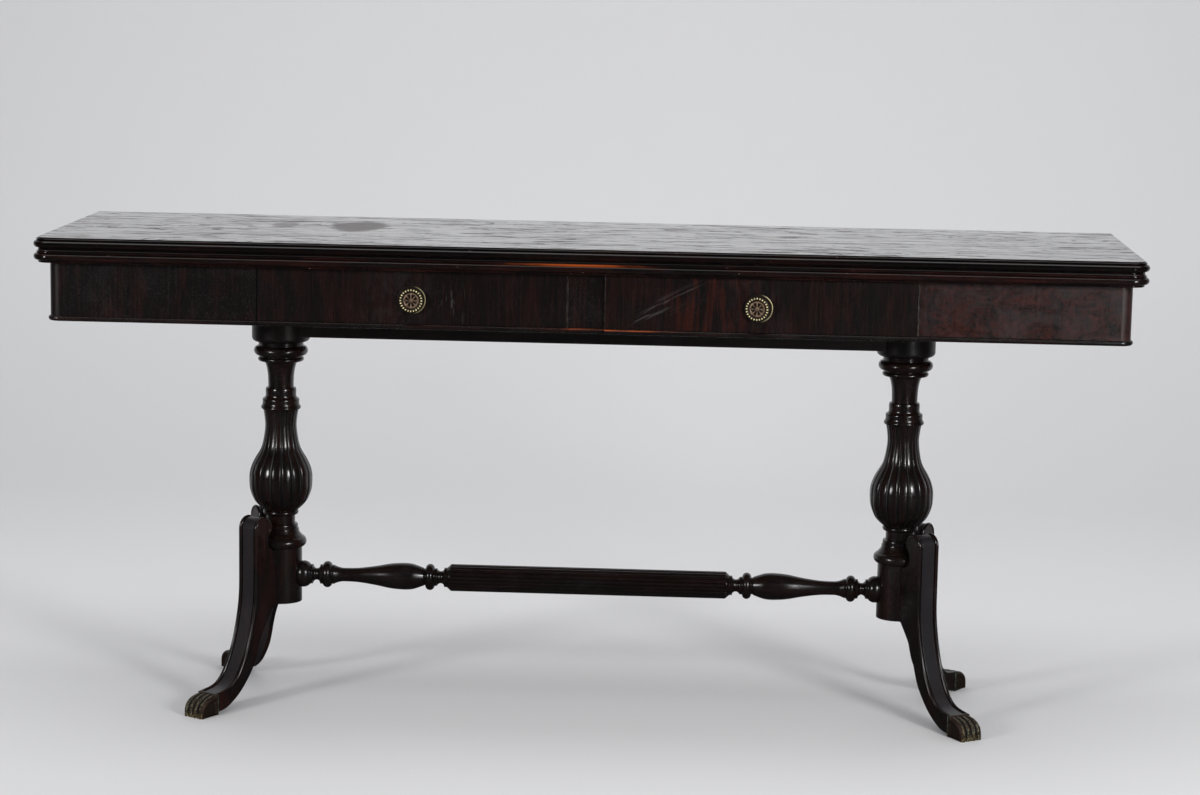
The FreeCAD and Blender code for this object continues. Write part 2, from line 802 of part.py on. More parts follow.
def column():
    """A turned column on the upright axis, with its tenon, reeded bulb, leg slots and stretcher socket."""
    upper = Turning(cap_bottom_z + column_tenon_length, -1)
    upper.straight(column_tenon_length, column_tenon_radius)
    upper.straight(top_quirk_height, top_quirk_radius)
    upper.bead(upper_torus_height, upper_torus_radius, upper_torus_root)
    upper.straight(ring_quirk_height, ring_quirk_radius)
    upper.bead(upper_ring_height, upper_ring_radius, upper_ring_root)
    upper.sweep(cove_height, shaft_radius, cove_top_radius, cove_shares)
    upper.straight(shaft_height, shaft_radius)
    upper.straight(collar_height, collar_radius)
    upper.straight(shoulder_height, shoulder_radius)
    upper.bead(lip_height, lip_radius, lip_root)
    lower = Turning(reeds_bottom_z, -1)
    lower.bead(lower_ring_height, lower_ring_radius, lower_ring_root)
    lower.straight(lower_neck_height, lower_neck_radius)
    lower.straight(step_height, step_radius)
    lower.sweep(flare_height, step_radius, flare_radius, flare_shares)
    lower.bead(lower_torus_height, lower_torus_radius, lower_torus_root)
    lower.straight(foot_height, foot_radius)
    shape = upper.solid().fuse([reeded_bulb(), lower.solid()])
    slots = [turned_about_z(tongue(joint_clearance), degrees) for degrees in (leg_angle, -leg_angle)]
    socket_end = joint_clearance - foot_radius + stretcher_tenon_depth
    socket = rod(stretcher_tenon_radius + joint_clearance,
                 upright(-foot_radius - joint_clearance, stretcher_z), upright(socket_end, stretcher_z))
    return shape.cut(slots + [socket])


def between(start, end, share):
    """A point whose two shares run from one corner to the other."""
    return start[0] + share[0] * (end[0] - start[0]), start[1] + share[1] * (end[1] - start[1])


def leg():
    """A splayed leg along +X, coped to the column, with its tongue and the stub inside the paw."""
    scroll_x = leg_face_radius - scroll_radius
    scroll_z = foot_top_z + scroll_rise
    turn = math.radians(scroll_turn)
    hook = (scroll_x + scroll_radius * math.cos(turn), scroll_z + scroll_radius * math.sin(turn))
    notch = (lower_torus_radius + notch_clearance, foot_top_z + lower_torus_height / 2 + notch_rise)
    face_end_z = column_bottom_z + leg_face_drop
    outline = Outline(upright, foot_radius - leg_cope, column_bottom_z)
    outline.line(foot_radius - leg_cope, foot_top_z)
    outline.line(foot_radius, foot_top_z)
    outline.arc(notch, hook)
    inner_edges = len(outline.edges)
    outline.arc((scroll_x, scroll_z + scroll_radius), (leg_face_radius, scroll_z))
    outline.line(leg_face_radius, face_end_z)
    outline.smooth_curve([between((leg_face_radius, face_end_z), (leg_reach, leg_end_top), share)
                          for share in leg_outer_shares + ((1, 1),)])
    outer_edge = Part.Wire(outline.edges[inner_edges:])
    outline.line(leg_reach, leg_end_bottom)
    outline.curve([between((foot_radius, column_bottom_z), (leg_reach, leg_end_bottom), share)
                   for share in leg_inner_shares[::-1] + ((0, 0),)])
    half = leg_thickness / 2
    board = moved(outline.face(), -along_y * half).extrude(along_y * leg_thickness)
    post = rod(foot_radius, upright(0, 0), upright(0, foot_top_z))
    beads = [leg_bead(outer_edge, hook, (scroll_x, scroll_z), side) for side in (-1, 1)]
    return board.cut(post).fuse(beads + [tongue(0), leg_stub(0)]).removeSplitter()


def leg_bead(outer_edge, start, scroll_middle, side):
    """The bead along one edge of a leg's outer face, from the hook of the scroll to the paw."""
    centre = upright(*start)
    inward = (upright(*scroll_middle) - centre).normalize()
    first = outer_edge.Edges[0]
    section = Part.Circle()
    section.Center = centre + inward * leg_bead_sink + along_y * side * (leg_thickness / 2 - leg_bead_sink)
    section.Axis = first.tangentAt(first.FirstParameter)
    section.Radius = leg_bead_radius
    bead = outer_edge.makePipeShell([Part.Wire(section.toShape())], True, False)
    past_end = box(leg_reach, leg_reach + leg_stub_length, -leg_thickness, leg_thickness, 0, foot_top_z)
    return bead.cut(past_end)


def leg_stub(grow):
    """The stub of wood inside a paw, grown by a clearance for the socket."""
    half = leg_stub_width / 2 + grow
    return box(leg_reach, leg_reach + leg_stub_length + grow, -half, half,
               leg_end_bottom + leg_stub_margin - grow, leg_end_top - leg_stub_margin + grow)


def paw():
    """A paw foot along +X: a collar, a body and a row of toes, with a socket for the leg."""
    toe_radius = paw_width / paw_toe_count / 2
    half = paw_width / 2
    tip = leg_reach + paw_length
    toe_x = tip - toe_radius
    collar_x = leg_reach + paw_collar_length
    ridge_z = paw_ridge_top - toe_radius
    pieces = [box(leg_reach, collar_x, -half, half, 0, leg_end_top)]
    side = Outline(upright, leg_reach, 0)
    side.line(toe_x, 0)
    side.line(toe_x, paw_toe_height)
    side.line(collar_x, ridge_z)
    side.line(leg_reach, ridge_z)
    core = moved(side.face(), -along_y * (half - toe_radius))
    pieces.append(core.extrude(along_y * (paw_width - 2 * toe_radius)))
    for number in range(paw_toe_count):
        y = -half + toe_radius * (2 * number + 1)
        knuckle = Vector(toe_x, y, paw_toe_height)
        pieces.append(rod(toe_radius, Vector(toe_x, y, 0), knuckle))
        pieces.append(Part.makeSphere(toe_radius, knuckle))
        pieces.append(rod(toe_radius, knuckle, Vector(leg_reach, y, ridge_z)))
        pieces.append(box(leg_reach, toe_x, y - toe_radius, y + toe_radius, 0, paw_toe_height))
    outside = box(0, leg_reach, -paw_width, paw_width, 0, leg_end_top)
    return pieces[0].fuse(pieces[1:]).cut([outside, leg_stub(paw_seat_clearance)]).removeSplitter()


def stretcher_half():
    """The turned right half of the stretcher, from the end of its reeds to its tenon, on the upright axis."""
    half = Turning(stretcher_reeded_end_x, 1)
    half.straight(stretcher_end_length, stretcher_end_radius)
    half.sweep(stretcher_cove_length, stretcher_neck_radius, stretcher_ring_root, stretcher_cove_shares)
    half.straight(stretcher_neck_length, stretcher_neck_radius)
    half.bead(stretcher_inner_ring_length, stretcher_ring_radius, stretcher_ring_root)
    half.sweep(stretcher_bulb_length, stretcher_waist_radius, stretcher_bulb_radius, stretcher_bulb_shares)
    half.sweep(stretcher_flare_length, stretcher_waist_radius, stretcher_bulb_radius, stretcher_flare_shares)
    half.bead(stretcher_outer_ring_length, stretcher_ring_radius, stretcher_ring_root)
    half.sweep(stretcher_waist_cove_length, stretcher_neck_radius, stretcher_ring_root,
               stretcher_waist_shares)
    half.straight(stretcher_last_ring_length, stretcher_ring_radius)
    half.straight(stretcher_tenon_depth - stretcher_cope, stretcher_tenon_radius)
    return half.solid()


def stretcher():
    """The stretcher along X: a reeded middle, two turned ends coped to the columns and their tenons."""
    reeds = lobed_wire(stretcher_reed_radius, stretcher_reed_depth, stretcher_reed_count,
                       -stretcher_reeded_end_x)
    middle = Part.Face(reeds).extrude(upward * 2 * stretcher_reeded_end_x)
    end = stretcher_half()
    bar = middle.fuse([end, end.mirror(origin, upward)])
    bar.rotate(origin, along_y, 90)
    bar.translate(upward * stretcher_z)
    posts = []
    for x in (-column_place, column_place):
        post = rod(foot_radius, upright(x, column_bottom_z), upright(x, foot_top_z))
        inner = -math.copysign(foot_radius, x)
        core = rod(stretcher_tenon_radius, upright(x, stretcher_z), upright(x + inner, stretcher_z))
        posts.append(post.cut(core))
    return bar.cut(posts)


def make_base():
    """The caps, columns, legs, paws and stretcher."""
    right = upright(column_place, 0)
    right_shapes = {
        "right_column_cap": column_cap(),
        "right_column": column(),
        "front_right_leg": turned_about_z(leg(), -leg_angle),
        "back_right_leg": turned_about_z(leg(), leg_angle),
        "front_right_paw": turned_about_z(paw(), -leg_angle),
        "back_right_paw": turned_about_z(paw(), leg_angle),
    }
    base = {"stretcher": stretcher()}
    for name, shape in right_shapes.items():
        base[name] = moved(shape, right)
        base[name.replace("right", "left")] = mirrored(base[name])
    return base


def save(nodes):
    """Writes each node's solid, or group of solids, to its own file."""
    os.makedirs("parts", exist_ok=True)
    for name, shape in nodes.items():
        shapes = shape if isinstance(shape, list) else [shape]
        solids = [solid for each in shapes for solid in each.Solids]
        whole = solids[0] if len(solids) == 1 else Part.makeCompound(solids)
        whole.exportStep("parts/" + name + ".step")


for group in (make_top(), make_frame(), make_drawers(), make_base()):
    save(group)
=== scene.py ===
from functools import partial
import json
import math

import bmesh
import bpy
from bpy.props import FloatProperty, FloatVectorProperty, IntProperty, PointerProperty
from bpy.types import Operator, Panel, PropertyGroup
from mathutils import Matrix, Vector


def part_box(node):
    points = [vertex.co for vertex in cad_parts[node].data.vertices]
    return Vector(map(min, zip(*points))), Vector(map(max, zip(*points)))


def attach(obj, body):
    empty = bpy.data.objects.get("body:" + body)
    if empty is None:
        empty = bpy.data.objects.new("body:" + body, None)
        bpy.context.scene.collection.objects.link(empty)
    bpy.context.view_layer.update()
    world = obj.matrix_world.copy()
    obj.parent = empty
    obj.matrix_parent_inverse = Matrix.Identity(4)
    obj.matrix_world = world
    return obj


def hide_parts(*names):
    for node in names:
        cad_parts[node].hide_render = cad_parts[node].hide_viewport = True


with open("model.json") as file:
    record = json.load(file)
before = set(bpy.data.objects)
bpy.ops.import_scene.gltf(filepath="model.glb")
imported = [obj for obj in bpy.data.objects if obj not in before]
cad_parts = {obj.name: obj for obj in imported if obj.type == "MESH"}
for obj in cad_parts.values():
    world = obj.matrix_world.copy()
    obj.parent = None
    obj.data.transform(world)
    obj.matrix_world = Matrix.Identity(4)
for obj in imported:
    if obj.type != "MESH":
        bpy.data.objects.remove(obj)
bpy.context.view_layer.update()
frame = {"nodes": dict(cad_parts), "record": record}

bl_info = {
    "name": "Fold-over pier table",
    "version": (1, 0, 0),
    "blender": (4, 5, 0),
    "location": "3D View > Sidebar > Pier table",
    "description": "Models the visible pieces of a fold-over pier table and gives them their finishes",
    "category": "Object",
}

# Places taken from the construction
top_low, top_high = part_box("upper_leaf")
seam_z = top_low.z
leaf_thickness = top_high.z - top_low.z
underside_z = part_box("lower_leaf")[0].z
stile_low, stile_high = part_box("centre_stile")
post_low, post_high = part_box("right_corner_post")
panel_low, panel_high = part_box("right_front_panel")
column_low, column_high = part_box("right_column")
cap_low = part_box("right_column_cap")[0]
column_x = (column_low.x + column_high.x) / 2
sides = {"left": -1, "right": 1}

merge_distance = 1e-6
quarter = math.radians(90)


def length(name, description, default):
    """A length that a user can change."""
    return FloatProperty(name=name, description=description, default=default, min=0.0, unit="LENGTH")


def colour(name, description, default):
    """A colour that a user can change."""
    return FloatVectorProperty(name=name, description=description, default=default, size=3, min=0.0,
                               max=1.0, subtype="COLOR")


def count(name, description, default):
    """A number of like members that a user can change."""
    return IntProperty(name=name, description=description, default=default, min=3)


class TopSizes(PropertyGroup):
    """The two leaves and their moulded edge."""
    nose_reach: length("Nose reach", "How far the rounded nose of a leaf stands out", 0.007)
    corner_radius: length("Corner radius", "Rounding of a leaf's front corners", 0.021)
    arris: length("Arris", "Softening of the upper edge of a leaf", 0.0007)


class FrameSizes(PropertyGroup):
    """The boards of the frame, the drawer fronts and the beads under them."""
    arris: length("Arris", "Softening of the edges of a board", 0.0006)
    corner_radius: length("Corner radius", "Rounding of the front corners", 0.017)
    bead_height: length("Bead height", "Height of the bead under the frame", 0.008)
    bead_reach: length("Bead reach", "How far the bead stands out", 0.0035)
    bead_bearing: length("Bead bearing", "How far the bead runs in under the boards", 0.014)


class PedestalSizes(PropertyGroup):
    """The columns, the legs and the stretcher."""
    reeds: count("Reeds", "Reeds round a column's bulb", 18)
    reed_crown: length("Reed crown", "Rise of a reed of the bulb between its edges", 0.0006)
    reed_groove: length("Reed groove", "Depth of the grooves between the reeds of the bulb", 0.0020)
    bulb_radius: length("Bulb radius", "Radius of the bulb over its reeds", 0.0509)
    stretcher_reeds: count("Stretcher reeds", "Reeds round the middle of the stretcher", 20)
    stretcher_radius: length("Stretcher radius", "Radius of the middle of the stretcher", 0.0219)
    stretcher_crown: length("Stretcher reed crown", "Rise of a reed of the stretcher", 0.0011)
    stretcher_groove: length("Stretcher reed groove", "Depth of the grooves of the stretcher", 0.0009)
    leg_thickness: length("Leg thickness", "Thickness of a leg", 0.037)
    leg_bead: length("Leg bead", "Radius of the bead along the edges of a leg", 0.0030)
    leg_quirk: length("Leg quirk", "Width of the groove beside the bead of a leg", 0.0017)


class FittingSizes(PropertyGroup):
    """The brass pulls and paw feet."""
    pull_beads: count("Pull beads", "Beads round the face of a pull", 24)
    pull_petals: count("Pull petals", "Spokes in the rosette of a pull", 8)
    toe_radius: length("Toe radius", "Thickness of a toe", 0.0054)
    cast_grain: length("Cast grain", "Fineness of the modelled paw", 0.0007)


class FinishColours(PropertyGroup):
    """The colours of the finishes."""
    dark_wood: colour("Dark wood", "Darkest streaks of the mahogany", (0.0040, 0.0027, 0.0026))
    red_wood: colour("Red wood", "Reddest streaks of the mahogany", (0.034, 0.0070, 0.0038))
    dust: colour("Dust", "The thin haze on the old polish", (0.034, 0.030, 0.033))
    worn_wood: colour("Worn wood", "Where the polish is rubbed through", (0.46, 0.088, 0.013))
    plain_wood: colour("Plain wood", "Unpolished timber inside", (0.30, 0.185, 0.10))
    gold: colour("Gold", "Brass where it is rubbed bright", (0.95, 0.82, 0.46))
    copper: colour("Copper", "Brass that has gone pink", (0.46, 0.27, 0.20))
    bronze: colour("Bronze", "Brass where it has gone dark", (0.030, 0.021, 0.015))
    verdigris: colour("Verdigris", "Green in the hollows of the brass", (0.17, 0.25, 0.2))


class StageSettings(PropertyGroup):
    """The floor and the camera."""
    lens: FloatProperty(name="Lens", description="Focal length in millimetres", default=88.06, min=1.0)
    floor: colour("Floor", "Colour of the floor and the backdrop", (0.70, 0.70, 0.71))


def start_piece(name):
    """Names the primitive just added and opens it for modelling."""
    piece = bpy.context.object
    piece.name = name
    piece.data.name = name
    bpy.ops.object.mode_set(mode="EDIT")
    bpy.ops.mesh.select_all(action="SELECT")
    return piece


def drop_selection():
    """Leaves nothing selected before a new piece is begun."""
    bpy.ops.object.select_all(action="DESELECT")


def pick(piece, kind, test):
    """Selects the vertices or edges of the open piece that pass a test on their middle."""
    bpy.ops.mesh.select_all(action="DESELECT")
    bpy.ops.mesh.select_mode(type={"verts": "VERT", "edges": "EDGE"}[kind])
    mesh = bmesh.from_edit_mesh(piece.data)
    for element in getattr(mesh, kind):
        if kind == "verts":
            middle = element.co
        else:
            middle = sum((corner.co for corner in element.verts), Vector()) / len(element.verts)
        if test(middle):
            element.select_set(True)
    mesh.select_flush_mode()
    bmesh.update_edit_mesh(piece.data)


def close_piece(piece, angle=35.0):
    """Merges doubles, turns the faces outwards and shades the open piece."""
    bpy.ops.mesh.select_mode(type="VERT")
    bpy.ops.mesh.select_all(action="SELECT")
    bpy.ops.mesh.remove_doubles(threshold=merge_distance)
    bpy.ops.mesh.normals_make_consistent(inside=False)
    bpy.ops.object.mode_set(mode="OBJECT")
    bpy.ops.object.shade_smooth_by_angle(angle=math.radians(angle))
    return piece


def choose(*pieces):
    """Selects whole pieces, the first of them active."""
    drop_selection()
    for piece in pieces:
        piece.select_set(True)
    bpy.context.view_layer.objects.active = pieces[0]


def discard(*pieces):
    """Deletes models once all their copies stand in place."""
    choose(*pieces)
    bpy.ops.object.delete()


def joined(name, pieces):
    """Several meshes as one piece."""
    choose(*pieces)
    bpy.ops.object.join()
    pieces[0].name = name
    pieces[0].data.name = name
    return pieces[0]


def softened(piece, width, degrees=40.0):
    """Rounds the sharp edges of a closed piece a little."""
    choose(piece)
    soft = piece.modifiers.new("Soft edges", "BEVEL")
    soft.width = width
    soft.segments = 2
    soft.limit_method = "ANGLE"
    soft.angle_limit = math.radians(degrees)
    bpy.ops.object.modifier_apply(modifier=soft.name)
    bpy.ops.object.shade_smooth_by_angle(angle=math.radians(35.0))
    return piece


def copied(piece, name):
    """A copy with a mesh of its own."""
    choose(piece)
    bpy.ops.object.duplicate(linked=False)
    copy = bpy.context.object
    copy.name = name
    copy.data.name = name
    return copy


def placed(piece, location=(0, 0, 0), turn=(0, 0, 0), mirror=False):
    """Moves, turns and mirrors a piece, and writes its place into its mesh."""
    choose(piece)
    piece.location = location
    piece.rotation_euler = turn
    if mirror:
        piece.scale = (-1, 1, 1)
        piece.location = (-location[0], location[1], location[2])
        piece.rotation_euler = (turn[0], -turn[1], -turn[2])
    bpy.ops.object.transform_apply(location=True, rotation=True, scale=True)
    if mirror:
        bpy.ops.object.mode_set(mode="EDIT")
        bpy.ops.mesh.select_all(action="SELECT")
        bpy.ops.mesh.normals_make_consistent(inside=False)
        bpy.ops.object.mode_set(mode="OBJECT")
    return piece


def coated(piece, finish):
    """Gives a piece one finish in place of any other."""
    piece.data.materials.clear()
    piece.data.materials.append(finish)


def settled(piece, body, slot, finish, *nodes):
    """Evens the shading of a piece, gives it its finish and its body, and hides the nodes that it stands for.
    """
    choose(piece)
    even = piece.modifiers.new("Even shading", "WEIGHTED_NORMAL")
    even.keep_sharp = True
    bpy.ops.object.modifier_apply(modifier=even.name)
    coated(piece, finish)
    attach(piece, body)
    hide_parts(*nodes)


def chain(name, points):
    """A chain of edges, drawn by extruding one point after another."""
    drop_selection()
    bpy.ops.mesh.primitive_plane_add(size=0.01)
    piece = start_piece(name)
    bpy.ops.mesh.merge(type="CENTER")
    bpy.ops.transform.translate(value=points[0])
    for here, there in zip(points, points[1:]):
        bpy.ops.mesh.extrude_vertices_move(TRANSFORM_OT_translate={"value": Vector(there) - Vector(here)})
    bpy.ops.mesh.select_all(action="SELECT")
    return piece


def extrude(run):
    """Extrudes the selected face along a run."""
    bpy.ops.mesh.extrude_region_move(TRANSFORM_OT_translate={"value": run})


def slab(name, outline, run):
    """A closed outline, filled and extruded along a run, with its far face still selected."""
    piece = chain(name, outline)
    bpy.ops.mesh.edge_face_add()
    extrude(run)
    return piece


def turned_corner(steps, centre, axis):
    """Spins the selected end of a sweep a quarter turn to the left about an axis."""
    bpy.ops.mesh.spin(steps=steps, angle=-quarter, center=centre, axis=axis)


def smooth_through(points, steps):
    """Points on a smooth curve through the given ones, in order."""
    points = [Vector(point).to_3d() for point in points]
    at = [0.0]
    for here, there in zip(points, points[1:]):
        at.append(at[-1] + (there - here).length)
    slopes = []
    for number in range(len(points)):
        before, after = max(number - 1, 0), min(number + 1, len(points) - 1)
        slopes.append((points[after] - points[before]) / (at[after] - at[before]))
    curve = [points[0]]
    for number in range(len(points) - 1):
        span = at[number + 1] - at[number]
        for step in range(1, steps + 1):
            t = step / steps
            curve.append(points[number] * (2 * t ** 3 - 3 * t ** 2 + 1)
                         + slopes[number] * span * (t ** 3 - 2 * t ** 2 + t)
                         + points[number + 1] * (3 * t ** 2 - 2 * t ** 3)
                         + slopes[number + 1] * span * (t ** 3 - t ** 2))
    return curve


def arc_points(start, middle, end, steps):
    """Points on the arc of a circle through three points of a plane, without the first."""
    (ax, ay), (bx, by), (cx, cy) = start, middle, end
    d = 2 * (ax * (by - cy) + bx * (cy - ay) + cx * (ay - by))
    a2, b2, c2 = ax * ax + ay * ay, bx * bx + by * by, cx * cx + cy * cy
    ox = (a2 * (by - cy) + b2 * (cy - ay) + c2 * (ay - by)) / d
    oy = (a2 * (cx - bx) + b2 * (ax - cx) + c2 * (bx - ax)) / d
    radius = math.hypot(ax - ox, ay - oy)
    first, via, last = (math.atan2(y - oy, x - ox) for x, y in (start, middle, end))
    turn = (last - first) % math.tau
    if (via - first) % math.tau > turn:
        turn -= math.tau
    angles = [first + turn * step / steps for step in range(1, steps + 1)]
    return [(ox + radius * math.cos(angle), oy + radius * math.sin(angle)) for angle in angles]


class Turning:
    """The outline of a turned piece, drawn member by member along its axis as (radius, height)."""

    def __init__(self, start, heading):
        self.at = start
        self.heading = heading
        self.points = [(0.0, start)]

    def to(self, radius, at):
        """One more point, unless it lies on the last."""
        if math.dist(self.points[-1], (radius, at)) > 1e-7:
            self.points.append((radius, at))

    def straight(self, span, radius):
        """A plain round length."""
        self.to(radius, self.at)
        self.at += self.heading * span
        self.to(radius, self.at)

    def bead(self, span, radius, root):
        """A rounded member that swells from its root to a radius."""
        start = (root, self.at)
        middle = (radius, self.at + self.heading * span / 2)
        self.to(*start)
        self.at += self.heading * span
        self.points += arc_points(start, middle, (root, self.at), 10)

    def sweep(self, span, low, high, shares):
        """A smooth curve between two radii, through shares of the span and of the rise."""
        through = [(low + rise * (high - low), self.at + self.heading * along * span)
                   for along, rise in shares]
        for point in smooth_through(through, 4):
            self.to(point.x, point.y)
        self.at += self.heading * span

    def trace(self, *steps):
        """A run of points, each a radius and a distance from where the run begins."""
        start = self.at
        for radius, along in steps:
            self.at = start + self.heading * along
            self.to(radius, self.at)

    def outline(self, *points):
        """A run of points, each a radius and a height."""
        self.points += points
        self.at = points[-1][1]

    def piece(self, name, steps=96):
        """The outline spun about the upright axis."""
        self.to(0.0, self.at)
        turned = chain(name, [(radius, 0.0, height) for radius, height in self.points])
        bpy.ops.mesh.spin(steps=steps, angle=math.tau, center=(0, 0, 0), axis=(0, 0, 1))
        return close_piece(turned)


def reeded(name, reeds, radius, crown, groove, rings):
    """A round body of reeds with grooves between them, extruded ring by ring from (size, height) pairs."""
    per_reed = 16
    groove_from = 0.7
    first_size, first_height = rings[0]
    drop_selection()
    bpy.ops.mesh.primitive_circle_add(vertices=reeds * per_reed, radius=radius, fill_type="NGON")
    body = start_piece(name)
    bpy.ops.transform.translate(value=(0, 0, first_height))
    step = math.tau / (reeds * per_reed)

    def scaled(size, height):
        bpy.ops.transform.resize(value=(size, size, 1), center_override=(0, 0, height))

    for phase in range(per_reed):
        pick(body, "verts", lambda at: round(math.atan2(at.y, at.x) / step) % per_reed == phase)
        away = abs(2 * phase / per_reed - 1)
        cut = groove * max(0.0, (away - groove_from) / (1 - groove_from)) ** 1.5
        scaled(1 - (crown * away ** 2 + cut) / radius, first_height)
    bpy.ops.mesh.select_all(action="SELECT")
    scaled(first_size, first_height)
    for (size, height), (next_size, next_height) in zip(rings, rings[1:]):
        extrude((0, 0, next_height - height))
        scaled(next_size / size, next_height)
    return close_piece(body, 30.0)


def board(name, low, high, arris):
    """A board with softened edges between two corners."""
    drop_selection()
    bpy.ops.mesh.primitive_cube_add(size=1)
    piece = start_piece(name)
    bpy.ops.transform.resize(value=Vector(high) - Vector(low))
    bpy.ops.transform.translate(value=(Vector(high) + Vector(low)) / 2)
    bpy.ops.mesh.bevel(offset=arris, segments=2, affect="EDGES")
    return close_piece(piece)


def tube(name, points, radius, shares=None):
    """A round bar along a chain of points, with a share of the radius at each."""
    bar = chain(name, points)
    bpy.ops.object.mode_set(mode="OBJECT")
    bpy.ops.object.convert(target="CURVE")
    bar.data.bevel_depth = radius
    bar.data.bevel_resolution = 3
    bar.data.use_fill_caps = True
    for point, share in zip(bar.data.splines[0].points, shares or []):
        point.radius = share
    bpy.ops.object.convert(target="MESH")
    bar = bpy.context.object
    bpy.ops.object.mode_set(mode="EDIT")
    return close_piece(bar, 40.0)


# Colours of wear, dirt, painted shade and sheen, plain fittings, and of the room
shades = {
    "speck": (0.11, 0.10, 0.10),
    "timber_figure": (0.15, 0.08, 0.042),
    "timber_pore": (0.09, 0.05, 0.03),
    "chip": (0.20, 0.15, 0.12),
    "dull_top": (0.042, 0.019, 0.0105),
    "top_dust": (0.085, 0.075, 0.070),
    "joint_dust": (0.14, 0.125, 0.11),
    "joint_shadow": (0.0015, 0.0013, 0.0013),
    "drawer_red": (0.042, 0.0066, 0.0030),
    "smear": (0.062, 0.055, 0.058),
    "panel_red": (0.052, 0.0105, 0.0056),
    "bloom_and_sheen": (0.040, 0.030, 0.034),
    "painted_groove_shade": (0.0012, 0.0009, 0.0009),
    "leg_film": (0.025, 0.024, 0.028),
    "paw_dark": (0.024, 0.015, 0.011),
    "paw_brown": (0.075, 0.046, 0.033),
    "paw_groove": (0.003, 0.0025, 0.002),
    "paw_gold": (0.50, 0.38, 0.18),
    "hinge_dark": (0.32, 0.22, 0.09),
    "hinge_light": (0.55, 0.41, 0.18),
    "steel_light": (0.40, 0.40, 0.41),
    "steel_dark": (0.20, 0.18, 0.17),
    "mirrored_floor": (0.03, 0.03, 0.03),
    "room": (0.90, 0.91, 0.93),
    "mirrored_room": (0.08, 0.08, 0.085),
    "seen_room": (1.60, 1.61, 1.64),
}


def paint(name):
    """A named colour with its alpha: one of the shades, or one that the user sets."""
    return (*(shades.get(name) or getattr(bpy.context.scene.table_colours, name)), 1.0)


def maths(operation, swapped=False):
    """A method that adds a Math node for a field and another value; swapped puts the other first."""
    def method(field, other=0.0):
        pair = (other, field) if swapped else (field, other)
        return field.nodes.field("ShaderNodeMath", {"operation": operation}, dict(enumerate(pair)))
    return method


class Field:
    """A value that changes over a surface: sums and products of fields add Math nodes."""

    def __init__(self, nodes, socket):
        self.nodes = nodes
        self.socket = socket

    __add__ = __radd__ = maths("ADD")
    __sub__ = maths("SUBTRACT")
    __rsub__ = maths("SUBTRACT", swapped=True)
    __mul__ = __rmul__ = maths("MULTIPLY")
    __truediv__ = maths("DIVIDE")
    __pow__ = maths("POWER")
    __abs__ = maths("ABSOLUTE")
    sine = maths("SINE")
    angle_over = maths("ARCTAN2")
    or_more = maths("MAXIMUM")

    def between(self, low, high):
        """0 below low, 1 above high and smooth between them."""
        return self.nodes.field("ShaderNodeMapRange", {"interpolation_type": "SMOOTHSTEP"}, {
            "Value": self, "From Min": low, "From Max": high})

    def near(self, middle, reach):
        """1 at the middle and 0 further away than the reach."""
        return 1 - abs(self - middle).between(0.0, reach)


class Nodes:
    """A node tree and the ways to add to it."""

    def __init__(self, tree):
        self.tree = tree

    def node(self, kind, settings=None, sockets=None):
        """Any node: its settings are set first, then the values or links of its sockets."""
        made = self.tree.nodes.new(kind)
        for name, value in (settings or {}).items():
            setattr(made, name, value)
        for key, value in (sockets or {}).items():
            self.feed(made.inputs[key], value)
        return made

    def field(self, kind, settings=None, sockets=None, out=0):
        """One output of a new node."""
        return Field(self, self.node(kind, settings, sockets).outputs[out])

    def feed(self, socket, value):
        """Links a field to a socket, or sets a named colour or a plain value on it."""
        if isinstance(value, Field):
            self.tree.links.new(value.socket, socket)
        else:
            socket.default_value = paint(value) if isinstance(value, str) else value

    def split(self, vector):
        """The three parts of a vector."""
        return [Field(self, part) for part in self.node("ShaderNodeSeparateXYZ", {}, {0: vector}).outputs]

    def mixed(self, share, first, second):
        """A colour between two others."""
        return self.field("ShaderNodeMix", {"data_type": "RGBA"}, {0: share, 6: first, 7: second}, 2)


